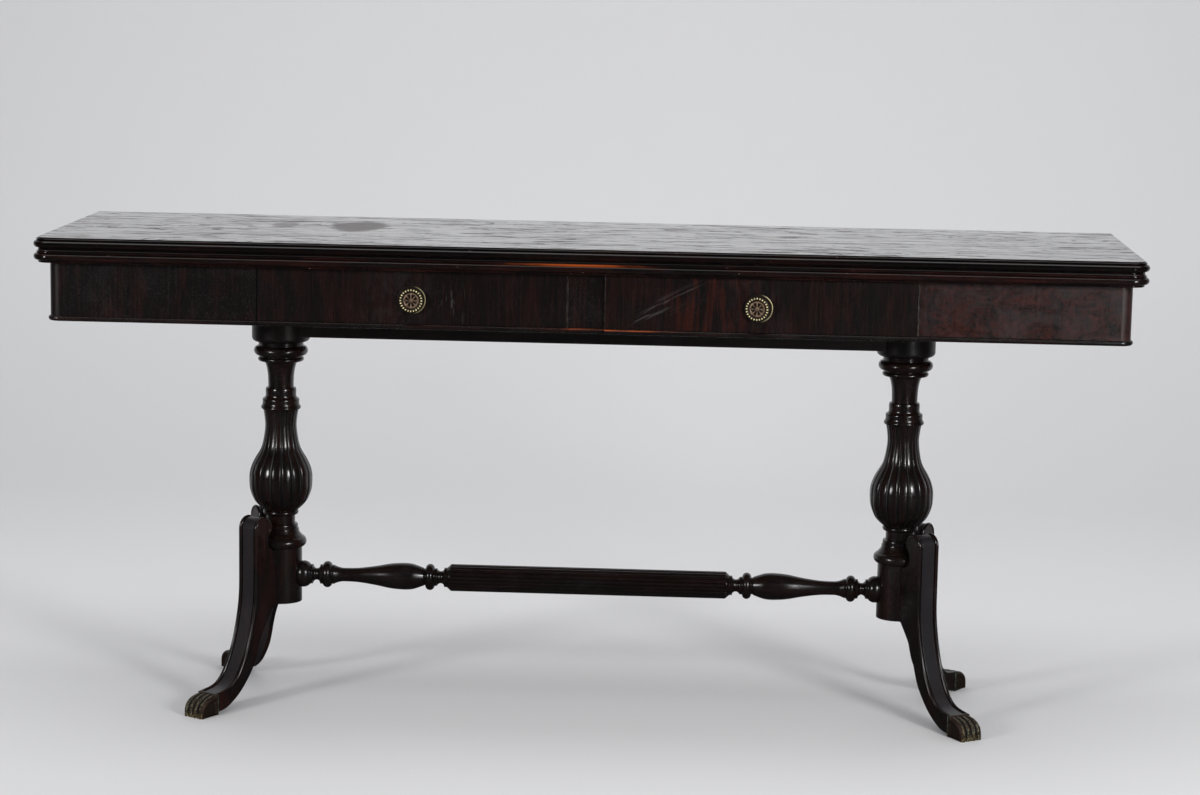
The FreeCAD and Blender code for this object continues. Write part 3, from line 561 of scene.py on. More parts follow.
class Finish(Nodes):
    """A material: a ground colour with tints laid over it, and the nodes that place them."""

    def __init__(self, name, ground):
        self.material = bpy.data.materials.new(name)
        self.material.use_nodes = True
        super().__init__(self.material.node_tree)
        self.shader = self.tree.nodes["Principled BSDF"]
        self.base = ground
        self.coordinates = self.field("ShaderNodeTexCoord", out="Object")
        self.x, self.y, self.z = self.split(self.coordinates)

    def tint(self, share, over):
        """Lays a share of another colour over the base."""
        self.base = self.mixed(share, self.base, over)

    def mapped(self, kind, scale, turn, shift=(0, 0, 0)):
        """The piece's own coordinates, stretched, turned and moved."""
        return self.field("ShaderNodeMapping", {"vector_type": kind}, {
            "Vector": self.coordinates, "Scale": scale, "Rotation": turn, "Location": shift})

    def turned(self, turn, place):
        """Coordinates with their origin at a place, turned about the upright axis."""
        return self.mapped("POINT", (1, 1, 1), (0, 0, -turn), Matrix.Rotation(-turn, 3, "Z") @ -Vector(place))

    def slanted(self, scale, degrees):
        """Coordinates turned about Y and then stretched."""
        return self.mapped("TEXTURE", tuple(1 / each for each in scale), (0, math.radians(degrees), 0))

    def noise(self, scale, detail=3.0, roughness=0.55, distortion=0.0, stretch=(1, 1, 1), shift=(0, 0, 0),
              on=None):
        """Noise on the piece's coordinates, stretched and moved, or on other ones."""
        return self.field("ShaderNodeTexNoise", {}, {
            "Vector": on or self.mapped("POINT", stretch, (0, 0, 0), shift), "Scale": scale,
            "Detail": detail, "Roughness": roughness, "Distortion": distortion})

    def bump(self, height, strength, distance):
        """Small relief from a height field."""
        relief = {"Height": height, "Strength": strength, "Distance": distance}
        self.surface(Normal=self.field("ShaderNodeBump", {}, relief))

    def surface(self, **sockets):
        """Feeds the shader's sockets by name."""
        for name, value in sockets.items():
            self.feed(self.shader.inputs[name.replace("_", " ")], value)

    def finished(self, **sockets):
        """The material, once its base colour and the given sockets are fed."""
        self.surface(Base_Color=self.base, **sockets)
        return self.material


def drawn_out(along, stretch):
    """Scales that draw a pattern out along one axis."""
    return tuple(stretch if axis == along else 1.0 for axis in "XYZ")


def mahogany(name, along, red, haze, gloss, seed, marks=None):
    """Old dark mahogany with its grain along one axis; marks adds what one piece alone shows."""
    wood = Finish(name, "dark_wood")
    shift = (seed, seed * 1.7, seed * 0.6)
    figure = wood.noise(19.0, 5.0, 0.66, 1.4, drawn_out(along, 0.22), shift)
    streak = wood.noise(260.0, 4.0, 0.65, 0.4, drawn_out(along, 0.05), shift)
    pores = wood.noise(1100.0, 2.0, 0.5, 0.0, drawn_out(along, 0.06), shift)
    cloud = wood.noise(14.0, 6.0, 0.68, 0.6, shift=shift)
    specks = wood.noise(430.0, 3.0, 0.65, shift=shift)
    dust = (cloud * 0.6 + specks * 0.4).between(0.47, 0.66) * haze
    wood.tint((figure * 0.6 + streak * 0.4).between(0.42, 0.70) * red, "red_wood")
    wood.tint(dust, "dust")
    wood.tint(pores.between(0.56, 0.72) * 0.6, "dark_wood")
    wood.tint(specks.between(0.60, 0.74) * (0.05 + haze * 0.7), "speck")
    wood.roughness = gloss + dust * 0.30 + (streak - 0.5) * 0.14
    wood.height = streak * 0.6 + pores * 0.4
    if marks:
        marks(wood)
    wood.bump(wood.height, 0.12, 0.0004)
    return wood.finished(Roughness=wood.roughness, IOR=1.5)


def plain_timber(name, along, seed):
    """Unpolished, aged timber."""
    wood = Finish(name, "plain_wood")
    shift = (seed, seed, seed)
    figure = wood.noise(60.0, 4.0, 0.6, 0.5, drawn_out(along, 0.06), shift)
    fine = wood.noise(600.0, 2.0, 0.5, 0.0, drawn_out(along, 0.03), shift)
    wood.tint(figure.between(0.3, 0.7) * 0.75, "timber_figure")
    wood.tint(fine.between(0.55, 0.8) * 0.4, "timber_pore")
    wood.bump(fine, 0.2, 0.0004)
    return wood.finished(Roughness=0.62 + (fine - 0.5) * 0.2)


# Worn patches on the top: place along and across, half width, half depth and strength
worn_patches = ((-0.385, 0.06, 0.048, 0.085, 0.55), (-0.504, 0.07, 0.024, 0.055, 0.35))
# How far from a flat face its own finish fades, from full to none
face_skin = (0.0004, 0.0012)
inner_dullness = 0.48


def edge_chips(wood, seed):
    """Small pale chips along a moulded edge."""
    chip = wood.noise(240.0, 2.0, 0.6, 0.0, (0.5, 1.0, 1.0), (seed, 0.0, 0.0))
    wood.tint(chip.between(0.73, 0.77) * 0.8, "chip")


def top_marks(wood):
    """The upper leaf: lines of figure, dull streaks and worn patches on top, and a dull face inside."""
    full, none = face_skin
    on_top = wood.z.between(top_high.z - none, top_high.z - full)
    inside = 1 - wood.z.between(seam_z + full, seam_z + none)
    drag = wood.noise(30.0, 6.0, 0.70, 0.9, (0.14, 1.0, 1.0))
    fine = wood.noise(125.0, 5.0, 0.70, 0.8, (0.09, 1.0, 1.0), (0.2, 0.6, 0.0))
    loops = wood.noise(16.0, 4.0, 0.55, 1.0, (0.16, 1.0, 1.0), (1.3, 0.2, 0.0))
    blotch = wood.noise(8.0, 5.0, 0.64, 0.8, (0.5, 1.0, 1.0), (3.1, 0.4, 0.0))
    lines = (1 - abs((loops * 27.0).sine()).between(0.10, 0.50)) * drag.between(0.42, 0.58)
    dull = (lines * 0.85).or_more(fine.between(0.52, 0.62)).or_more(drag.between(0.54, 0.66) * 0.35)
    ragged = (drag + blotch - 1.0) * 1.6
    for along, across, wide, deep, wear in worn_patches:
        away = ((wood.x - along) / wide) ** 2 + ((wood.y - across) / deep) ** 2 + ragged
        dull = dull.or_more((1 - away.between(0.4, 1.2)) * wear * (0.8 + drag * 0.8))
    dull = dull * on_top
    edge_chips(wood, 0.0)
    wood.tint(dull * 0.6, "dull_top")
    wood.tint(on_top * blotch.between(0.35, 0.6) * 0.12, "top_dust")
    wood.surface(Coat_Weight=on_top * (0.80 - dull * 0.80), Coat_Roughness=0.07)
    polish = 0.09 + dull * 0.55 + (blotch - 0.5) * 0.08
    wood.roughness = wood.roughness * (1 - on_top) + on_top * polish + inside * inner_dullness
    wood.height = wood.height * (1 - on_top * 0.8) + drag * on_top * 0.3


def seam_marks(wood):
    """The lower leaf: the edge is rubbed bare at the front, where the leaf is lifted, and dull inside."""
    full, none = face_skin
    inside = wood.z.between(seam_z - none, seam_z - full)
    rub = wood.noise(260.0, 3.0, 0.6, 0.0, (0.08, 1.0, 1.0))
    at_front = (-1 * wood.y).between(0.1, 0.2)
    line = wood.z.near(seam_z - 0.0046, 0.0026) * wood.x.near(-0.01, 0.16) * at_front
    line = line * (rub + wood.x.near(-0.01, 0.10) * 0.45).between(0.42, 0.70)
    edge_chips(wood, 0.7)
    wood.tint(line, "worn_wood")
    wood.roughness += line * 0.2 + inside * inner_dullness


def bead_marks(wood):
    """The bead is rubbed to a tan line near the middle of the front, a line that also paints a highlight on
    the upper part of the bead.
    """
    rub = wood.noise(320.0, 3.0, 0.6, 0.0, (0.06, 1.0, 1.0))
    # Tan line: partly rubbed wear, partly a painted highlight on the upper rounding of the bead
    line = wood.z.near(stile_low.z + 0.0066, 0.0016) * wood.x.near(0.03, 0.14) * rub.between(0.36, 0.6)
    wood.tint(line * 0.85, "worn_wood")
    wood.roughness += line * 0.2


def joint_dust(wood, inner, outer):
    """Pale dust along the upright joints of a board, but not along the leftmost one."""
    break_up = wood.noise(300.0, 3.0, 0.6, 0.0, (1.0, 1.0, 0.3)).between(0.40, 0.58)
    line = abs(wood.x).near(inner, 0.0009).or_more(wood.x.near(outer, 0.0010))
    wood.tint(line * break_up * 0.7, "joint_dust")
    wood.tint(wood.x.near(-outer, 0.0012), "joint_shadow")


def drawer_marks(wood):
    """Joints on the drawer fronts, red figure, and smears in the haze."""
    low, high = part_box("right_drawer_front")
    joint_dust(wood, low.x, high.x)
    flame = wood.noise(75.0, 5.0, 0.66, 1.0, (1.0, 1.0, 0.14), (0.7, 0.0, 0.0)).between(0.44, 0.66)
    wood.tint(flame * (0.10 + wood.x.near(0.18, 0.13) * 0.55), "drawer_red")
    stroke = wood.noise(210.0, 4.0, 0.60, 0.4, on=wood.slanted((0.06, 1.0, 1.0), -27)).between(0.53, 0.63)
    rising = (wood.z - wood.x * 0.51).near(0.616, 0.020)
    smear = stroke * rising * wood.x.near(0.120, 0.085)
    upright = wood.noise(130.0, 4.0, 0.6, 1.2, (1.0, 1.0, 0.2)).between(0.56, 0.68)
    smear = smear.or_more(upright * wood.x.near(-0.205, 0.035) * wood.z.near(0.672, 0.040))
    grey = wood.x.near(0.26, 0.07).or_more(wood.x.near(-0.29, 0.09))
    grey = grey * wood.noise(60.0, 6.0, 0.7, 0.8, (1.0, 1.0, 0.5)).between(0.42, 0.66)
    wood.tint(grey * 0.25, "dust")
    wood.tint(smear * 0.65, "smear")
    wood.roughness += smear * 0.15


def veneer_marks(wood):
    """The panels at the ends: red figure under dust and a painted sheen to the right, and fine upright cracks
    to the left.
    """
    crack = wood.noise(330.0, 2.0, 0.5, 0.0, (1.0, 1.0, 0.02)).between(0.66, 0.70) * wood.x.near(-0.70, 0.10)
    wood.tint(crack * 0.5, "dust")
    right = wood.x.between(0.30, 0.56)
    curl = wood.noise(75.0, 7.0, 0.74, 1.3, (0.6, 1.0, 0.8), (0.1, 0.0, 0.3)).between(0.38, 0.68)
    wood.tint(curl * right * 0.75, "panel_red")
    swirl = wood.noise(95.0, 4.0, 0.62, 1.8, on=wood.slanted((0.22, 1.0, 1.0), -24)).between(0.52, 0.62)
    swirl = swirl * wood.x.near(0.665, 0.10) * wood.z.near(panel_low.z + 0.036, 0.034)
    wood.tint(swirl * 0.7, "dark_wood")
    # The pale bloom on the right is partly dust and partly a painted sheen that makes the panel lighter
    # towards the right end
    bloom_and_sheen = wood.noise(26.0, 9.0, 0.76, 0.8, (0.6, 1.0, 1.0), (0.4, 0.0, 0.9)).between(0.36, 0.66) * right
    wood.tint(bloom_and_sheen * 0.27, "bloom_and_sheen")
    joint_dust(wood, stile_high.x, panel_low.x)
    round_corner = abs(wood.x).between(post_high.x - 0.020, post_high.x - 0.010)
    wood.roughness += bloom_and_sheen * 0.08 + round_corner * 0.08


def reed_marks(wood):
    """The grooves between the reeds of a column get a painted shade, and are rougher."""
    fade = 0.004
    reeds_end = reeds_top - reeded_height
    half_reeds = bpy.context.scene.table_pedestals.reeds / 2
    turn = wood.y.angle_over(abs(wood.x) - column_x)
    groove = abs((turn * half_reeds + math.pi / 2).sine()).between(0.93, 0.99)
    groove = groove * wood.z.between(reeds_end, reeds_end + fade)
    groove = groove * (1 - wood.z.between(reeds_top - fade, reeds_top))
    # Painted shade: the grooves between the reeds are darkened almost to black
    wood.tint(groove * 0.9, "painted_groove_shade")
    wood.roughness += groove * 0.35


def leg_marks(turn, place, wood):
    """The outer face of a leg is dull and grey between its beads."""
    across = wood.split(wood.turned(turn, place))[1]
    film = 0.6 + wood.noise(700.0, 4.0, 0.7, 0.0, (1.0, 1.0, 0.6)).between(0.35, 0.65) * 0.4
    film = film * (1 - abs(across).between(0.0105, 0.0124))
    wood.tint(film * 0.60, "leg_film")
    wood.roughness += film * 0.18


class Brass(Finish):
    """Old brass with coordinates of its own, turned about the upright axis and moved."""

    def __init__(self, name, turn, place):
        super().__init__(name, "bronze")
        self.own = self.turned(turn, place)
        self.own_x, self.own_y, self.own_z = self.split(self.own)
        self.tarnish = self.noise(420.0, 4.0, 0.62, on=self.own)

    def aged(self, rub, green, height):
        """The material, smoother where it is rubbed, and green where damp has sat."""
        self.tint(green, "verdigris")
        self.bump(height, 0.3, 0.0004)
        roughness = 0.50 - rub * 0.22 + green * 0.25 + (self.tarnish - 0.5) * 0.2
        return self.finished(Metallic=0.75 - rub * 0.45 - green * 0.7, Roughness=roughness)


def pull_brass(name, place, lean):
    """The brass of a pull: gold beads, a pink wheel with dark hollows, and gold on the right of the rim as a
    painted highlight.
    """
    metal = Brass(name, -lean, place)
    depth = -1 * metal.own_y
    radius = (metal.own_x ** 2 + metal.own_z ** 2) ** 0.5
    patchy = metal.noise(170.0, 3.0, 0.6, on=metal.own).between(0.38, 0.58)
    bead = depth.between(0.0127, 0.0135) * radius.between(0.0136, 0.0144)
    # Painted highlight: only the right side of the rim is turned gold
    rim = depth.between(0.0025, 0.0030) * radius.between(0.0196, 0.0202) * metal.own_x.between(0.002, 0.014)
    wheel = depth.between(0.0113, 0.0124) * (1 - radius.between(0.0124, 0.0130))
    metal.tint(wheel * (0.22 + patchy * 0.30), "copper")
    gold = (bead * (0.75 + patchy * 0.25)).or_more(rim * 0.5).or_more(wheel * patchy * 0.10)
    metal.tint(gold, "gold")
    green = metal.noise(240.0, on=metal.own).between(0.60, 0.72) * 0.25 * (1 - bead)
    return metal.aged(gold, green, metal.tarnish)


def paw_brass(name, turn, place):
    """The brass of one paw: brown sides, black grooves between the toes, and gold on the toes' crowns."""
    metal = Brass(name, turn, place)
    half_toe = toe_pitch / 2
    past_seam = metal.own_x - leg_reach
    wavy = abs(metal.own_y + (metal.noise(90.0, 2.0, on=metal.own) - 0.5) * 0.003)
    from_middle = abs(wavy - half_toe)
    toe = past_seam.between(0.005, 0.012)
    groove = from_middle.near(half_toe, 0.0026) * toe
    crown = abs(wavy - toe_pitch).near(half_toe, 0.0024) * toe
    on_side = abs(metal.own_y).between(0.0180, 0.0192)
    worn = metal.tarnish.between(0.46, 0.64)
    low = metal.own_z.near(0.003, 0.010) * past_seam.between(0.030, 0.036)
    rub = (crown * worn * 0.55).or_more(low * worn * 0.8) * (1 - on_side)
    brown = metal.mixed(metal.tarnish.between(0.35, 0.70), "paw_dark", "paw_brown")
    metal.tint(on_side.or_more(0.5), brown)
    metal.tint(groove * 0.95, "paw_groove")
    metal.tint(rub, "paw_gold")
    line = past_seam.near(0.0008, 0.0016)
    edge = abs(from_middle - half_toe).near(0.0028, 0.0012) * toe
    green = (edge * 0.55).or_more(line * 0.9) * metal.tarnish.between(0.44, 0.60)
    return metal.aged(rub, green, metal.tarnish - groove * 0.8)


def plain_metal(name, ground, over, scale, detail, edges, least_roughness, relief=0.0):
    """Bare metal with a light tarnish, and a small relief if it has any."""
    metal = Finish(name, ground)
    tarnish = metal.noise(scale, detail, 0.6)
    metal.tint(tarnish.between(*edges), over)
    if relief:
        metal.bump(tarnish, relief, 0.0002)
    return metal.finished(Metallic=1.0, Roughness=least_roughness + tarnish * 0.2)


def leaf_section(sizes):
    """The moulded edge of a leaf from its underside up, as (outwards, up from the underside)."""
    reach, tall, arris = sizes.nose_reach, leaf_thickness, sizes.arris
    foot, nose, quirk = (0.30 * reach, 0.18 * tall), (0.30 * reach, 0.73 * tall), (0.20 * reach, 0.73 * tall)
    section = [(-0.0006, 0.0), (0.0, 0.0006), (0.0, 0.12 * tall), foot]
    section += arc_points(foot, (reach, 0.46 * tall), nose, 12)
    section += [quirk]
    section += arc_points(quirk, (0.38 * reach, 0.83 * tall), (0.0, 0.91 * tall), 8)
    return section + [(0.0, tall - arris), (-arris * 0.3, tall - arris * 0.3), (-arris, tall)]


def model_leaf(name, sizes, bottom):
    """A leaf: the moulded edge swept round the front and ends, and flat faces between."""
    radius = sizes.corner_radius
    arris_x = top_high.x - sizes.nose_reach
    arris_front = top_low.y + sizes.nose_reach
    back = top_high.y
    deep = back - arris_front - radius
    wide = 2 * (arris_x - radius)
    piece = chain(name, [(-arris_x - out, back, bottom + up) for out, up in leaf_section(sizes)])
    left, right = ((x, arris_front + radius, 0) for x in (-arris_x + radius, arris_x - radius))
    for run, corner in (((0, -deep, 0), left), ((wide, 0, 0), right), ((0, deep, 0), None)):
        bpy.ops.mesh.extrude_edges_move(TRANSFORM_OT_translate={"value": run})
        if corner:
            turned_corner(14, corner, (0, 0, 1))
    bpy.ops.mesh.select_all(action="SELECT")
    bpy.ops.mesh.remove_doubles(threshold=merge_distance)
    for level in (bottom, bottom + leaf_thickness):
        pick(piece, "verts", lambda at: abs(at.z - level) < merge_distance)
        bpy.ops.mesh.edge_face_add()
        bpy.ops.mesh.select_mode(type="FACE")
        bpy.ops.mesh.inset(thickness=0.0015)
    pick(piece, "verts", lambda at: abs(at.y - back) < merge_distance)
    bpy.ops.mesh.edge_face_add()
    return close_piece(piece, 32.0)


class TABLE_OT_leaves(Operator):
    """Models the two leaves of the top with their moulded edges"""
    bl_idname = "table.leaves"
    bl_label = "Leaves"

    def execute(self, context):
        sizes = context.scene.table_top
        upper = model_leaf("upper_leaf_moulded", sizes, seam_z)
        finish = mahogany("top_mahogany", "X", 0.65, 0.10, 0.12, 0.3, top_marks)
        settled(upper, "folding_leaf", "mahogany", finish, "upper_leaf")
        lower = model_leaf("lower_leaf_moulded", sizes, underside_z)
        finish = mahogany("lower_leaf_mahogany", "X", 0.65, 0.10, 0.12, 1.9, seam_marks)
        settled(lower, "sliding_top", "mahogany", finish, "lower_leaf")
        return {"FINISHED"}


class TABLE_OT_boards(Operator):
    """Models the rounded corners, the stile and the drawer fronts, and gives the end panels and end aprons
    their veneer
    """
    bl_idname = "table.boards"
    bl_label = "Frame boards and drawer fronts"

    def execute(self, context):
        sizes = context.scene.table_frame
        veneer = mahogany("veneer", "Z", 0.50, 0.13, 0.26, 0.7, veneer_marks)
        for side, sign in sides.items():
            post = board(side + "_rounded_corner", post_low, post_high, 0.0)
            post = placed(self.rounded(post, sizes.corner_radius), mirror=sign < 0)
            settled(post, "base", "mahogany", veneer, side + "_corner_post")
            for node in ("_front_panel", "_end_apron"):
                coated(frame["nodes"][side + node], veneer)
        low = (stile_low.x, post_low.y, post_low.z)
        high = (stile_high.x, panel_high.y, post_high.z)
        settled(board("stile_board", low, high, sizes.arris), "base", "mahogany", veneer, "centre_stile")
        for side in sides:
            low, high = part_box(side + "_drawer_front")
            front = board(side + "_drawer_face", low, high, sizes.arris)
            finish = mahogany(side + "_drawer_veneer", "Z", 0.42, 0.05, 0.26, 2.3 + low.x, drawer_marks)
            settled(front, side + "_drawer", "mahogany", finish, side + "_drawer_front")
        return {"FINISHED"}

    def rounded(self, post, radius):
        """Rounds the outer front edge of a corner post."""
        choose(post)
        bpy.ops.object.mode_set(mode="EDIT")
        pick(post, "edges", lambda at: abs(at.x - post_high.x) < 1e-5 and abs(at.y - post_low.y) < 1e-5)
        bpy.ops.mesh.bevel(offset=radius, segments=14, affect="EDGES")
        return close_piece(post)


def bead_section(sizes, x, y):
    """The half-round bead under the frame, at the start of a run to the right, from its foot up."""
    tall, reach, bearing = sizes.bead_height, sizes.bead_reach, -sizes.bead_bearing
    root = reach - tall / 2
    outline = [(bearing, 0.0), (root, 0.0)]
    outline += arc_points((root, 0.0), (reach, tall / 2), (root, tall), 10)
    outline += [(bearing, tall)]
    return [(x, y - out, stile_low.z + up) for out, up in outline]


def bead_bar(name, sizes, x_from, x_to, y):
    """A straight length of bead with closed ends."""
    return close_piece(slab(name, bead_section(sizes, x_from, y), (x_to - x_from, 0, 0)), 40.0)


class TABLE_OT_beads(Operator):
    """Models the bead mouldings under the frame and the drawers"""
    bl_idname = "table.beads"
    bl_label = "Bead mouldings"

    def execute(self, context):
        sizes = context.scene.table_frame
        finish = mahogany("bead_mahogany", "X", 0.45, 0.16, 0.26, 3.7, bead_marks)
        for side, sign in sides.items():
            low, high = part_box(side + "_drawer_bead")
            drawer = bead_bar(side + "_drawer_moulding", sizes, low.x, high.x, low.y + sizes.bead_reach)
            settled(drawer, side + "_drawer", "mahogany", finish, side + "_drawer_bead")
            around = self.around_end(side + "_end_moulding", sizes)
            settled(placed(around, mirror=sign < 0), "base", "mahogany", finish, side + "_apron_bead")
        middle = bead_bar("stile_moulding", sizes, stile_low.x, stile_high.x, post_low.y)
        settled(middle, "base", "mahogany", finish, "centre_stile")
        return {"FINISHED"}

    def around_end(self, name, sizes):
        """The bead of the right end, round its corner to the back."""
        low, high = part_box("right_apron_bead")
        corner_x = post_high.x - sizes.corner_radius
        corner_y = post_low.y + sizes.corner_radius
        piece = slab(name, bead_section(sizes, low.x, post_low.y), (corner_x - low.x, 0, 0))
        turned_corner(14, (corner_x, corner_y, 0), (0, 0, 1))
        extrude((0, high.y - corner_y, 0))
        return close_piece(piece, 40.0)


# Curves of the column, as shares of a member's length and of its rise
cove_shares = ((0.0, 1.0), (0.15, 0.62), (0.36, 0.31), (0.62, 0.10), (1.0, 0.0))
flare_shares = ((0.0, 0.0), (0.45, 0.30), (1.0, 1.0))
bulb_shares = (
    (0.0, 0.13), (0.07, 0.05), (0.17, 0.0), (0.32, 0.13), (0.40, 0.295), (0.48, 0.60), (0.56, 0.85),
    (0.64, 0.985), (0.71, 1.0), (0.78, 0.97), (0.85, 0.84), (0.915, 0.64), (0.97, 0.31), (1.0, 0.09),
)
cap_radius = 0.0465
cap_drop = 0.008
cap_rounding = 0.007
cap_arc_inset = 0.00205
reed_neck_radius = 0.0252
reeded_height = 0.1655
reeds_top = 0.471
foot_top = 0.245
foot_bottom = 0.155
foot_radius = 0.0345
torus_radius = 0.0418


class TABLE_OT_columns(Operator):
    """Models the two turned columns with their caps"""
    bl_idname = "table.columns"
    bl_label = "Columns and caps"

    def execute(self, context):
        sizes = context.scene.table_pedestals
        cap_finish = mahogany("cap_mahogany", "Z", 0.20, 0.10, 0.36, 5.1)
        finish = mahogany("column_mahogany", "Z", 0.45, 0.20, 0.19, 4.3, reed_marks)
        cap = self.cap()
        column = joined("column", [self.upper(), self.bulb(sizes), self.lower()])
        for side, sign in sides.items():
            own = placed(copied(cap, side + "_turned_cap"), (column_x, 0, 0), mirror=sign < 0)
            settled(own, "base", "mahogany", cap_finish, side + "_column_cap")
            own = placed(copied(column, side + "_turned_column"), (column_x, 0, 0), mirror=sign < 0)
            settled(own, "base", "mahogany", finish, side + "_column")
        discard(cap, column)
        return {"FINISHED"}

    def cap(self):
        """The plain round cap under the frame, with its rounded lower edge."""
        bottom, top = cap_low.z, panel_low.z - cap_drop
        cap = Turning(top, -1)
        cap.straight(top - bottom - cap_rounding, cap_radius)
        cap.outline(*arc_points((cap_radius, bottom + cap_rounding),
                                (cap_radius - cap_arc_inset, bottom + cap_arc_inset),
                                (cap_radius - cap_rounding, bottom), 8))
        return cap.piece("cap")

    def upper(self):
        """The turned members above the reeds."""
        part = Turning(cap_low.z, -1)
        part.straight(0.007, 0.036)
        part.bead(0.016, 0.0434, 0.0365)
        part.straight(0.0025, 0.0335)
        part.bead(0.0065, 0.0369, 0.033)
        part.sweep(0.036, 0.0205, 0.027, cove_shares)
        part.straight(0.007, 0.0205)
        part.trace((0.0224, 0.0), (0.0236, 0.0006), (0.0243, 0.0020), (0.0247, 0.0048), (0.0246, 0.0088),
                   (0.0244, 0.0122), (0.0247, 0.0142), (0.0256, 0.0161), (0.0270, 0.0174), (0.0282, 0.0180))
        part.trace((0.0288, 0.0), (0.0294, 0.0009), (0.0296, 0.0024), (0.0294, 0.0060), (0.0296, 0.0088),
                   (0.0303, 0.0108), (0.0312, 0.0120))
        part.bead(0.005, 0.0321, 0.0309)
        return softened(part.piece("column_upper"), 0.0006)

    def bulb(self, sizes):
        """The reeded bulb."""
        radius = sizes.bulb_radius
        swell = radius - reed_neck_radius
        rings = [((reed_neck_radius + point.y * swell) / radius, reeds_top - point.x * reeded_height)
                 for point in smooth_through(bulb_shares, 4)]
        return reeded("column_bulb", sizes.reeds, radius, sizes.reed_crown, sizes.reed_groove, rings)

    def lower(self):
        """The turned members below the reeds and the plain foot."""
        part = Turning(reeds_top - reeded_height, -1)
        part.bead(0.0075, 0.0287, 0.0255)
        part.straight(0.015, 0.0231)
        part.trace((0.0258, 0.0), (0.0270, 0.0006), (0.0277, 0.0019), (0.0278, 0.0048), (0.0275, 0.0076),
                   (0.0288, 0.0079), (0.0294, 0.0088), (0.0295, 0.0110))
        part.sweep(0.010, 0.0290, 0.036, flare_shares)
        part.bead(0.017, torus_radius, 0.035)
        part.straight(foot_top - foot_bottom, foot_radius)
        return softened(part.piece("column_lower"), 0.0006)


# Curves and places of the stretcher
stretcher_bulb_shares = (
    (0.0, 0.33), (0.075, 0.67), (0.15, 0.935), (0.26, 1.0), (0.41, 0.86), (0.595, 0.43), (0.82, 0.056),
    (1.0, 0.0),
)
stretcher_flare_shares = ((0.0, 0.0), (0.45, 0.13), (1.0, 0.42))
stretcher_waist_shares = ((0.0, 0.75), (0.25, 0.17), (0.5, 0.0), (0.75, 0.17), (1.0, 0.75))
stretcher_z = 0.1995
stretcher_end_x = column_x - foot_radius + 0.0075
reeded_half = stretcher_end_x - 0.250
reeded_rounding = 0.0015


class TABLE_OT_stretcher(Operator):
    """Models the turned and reeded stretcher"""
    bl_idname = "table.stretcher"
    bl_label = "Stretcher"

    def execute(self, context):
        sizes = context.scene.table_pedestals
        finish = mahogany("stretcher_mahogany", "X", 0.25, 0.16, 0.20, 6.2)
        end = self.end()
        other = placed(copied(end, "stretcher_other_end"), turn=(math.pi, 0, 0))
        full = reeded_half - reeded_rounding
        rings = ((0.93, -reeded_half), (1.0, -full), (1.0, full), (0.93, reeded_half))
        middle = reeded("stretcher_middle", sizes.stretcher_reeds, sizes.stretcher_radius,
                        sizes.stretcher_crown, sizes.stretcher_groove, rings)
        bar = joined("turned_stretcher", [middle, end, other])
        placed(bar, (0, 0, stretcher_z), (0, quarter, 0))
        settled(bar, "base", "mahogany", finish, "stretcher")
        return {"FINISHED"}

    def end(self):
        """One turned end, from the reeds to the column."""
        part = Turning(reeded_half, 1)
        part.sweep(0.0045, 0.0165, 0.0203, ((0.0, 1.0), (1.0, 0.0)))
        part.straight(0.005, 0.0158)
        part.sweep(0.0115, 0.0098, 0.0142, stretcher_waist_shares)
        part.straight(0.0045, 0.0143)
        part.bead(0.0145, 0.0214, 0.0152)
        part.straight(0.003, 0.0136)
        part.sweep(0.132, 0.011, 0.0217, stretcher_bulb_shares)
        part.sweep(0.0135, 0.011, 0.0200, stretcher_flare_shares)
        part.straight(0.0045, 0.0155)
        part.bead(0.0145, 0.0214, 0.0165)
        part.straight(0.0042, 0.0158)
        part.sweep(0.0122, 0.0094, 0.0148, stretcher_waist_shares)
        part.straight(0.0045, 0.0158)
        part.bead(stretcher_end_x - part.at, 0.0216, 0.0165)
        return softened(part.piece("stretcher_end"), 0.0005)


# Places and curves of a leg, outwards from the column and up; its end runs between two heights
leg_face = 0.080
leg_reach = 0.170
leg_turn = math.radians(57.5)
leg_places = {"front": -leg_turn, "back": leg_turn}
leg_end_low, leg_end_high = 0.004, 0.034
scroll_radius = 0.0185
scroll_x, scroll_z = leg_face - scroll_radius, foot_top + 0.0385
scroll_hook = math.radians(200)
leg_bend_offsets = ((0.0, 0.040), (0.0002, 0.024), (0.0009, 0.011), (0.0026, -0.004), (0.0053, -0.019))
leg_outer_shares = ((0.10, 0.27), (0.20, 0.50), (0.37, 0.74), (0.52, 0.885), (0.70, 0.965), (1.0, 1.0))
leg_inner_shares = (
    (0.0, 0.0), (0.16, 0.18), (0.25, 0.33), (0.31, 0.47), (0.38, 0.61), (0.49, 0.74), (0.64, 0.87),
    (0.84, 0.975), (1.0, 1.0),
)


def leg_corners():
    """The four legs: their names, sides, turns as modelled, and turns and places as they stand."""
    for depth, turn in leg_places.items():
        for side, sign in sides.items():
            stands = turn if sign > 0 else math.pi - turn
            yield f"{depth}_{side}", sign, turn, stands, (sign * column_x, 0, 0)


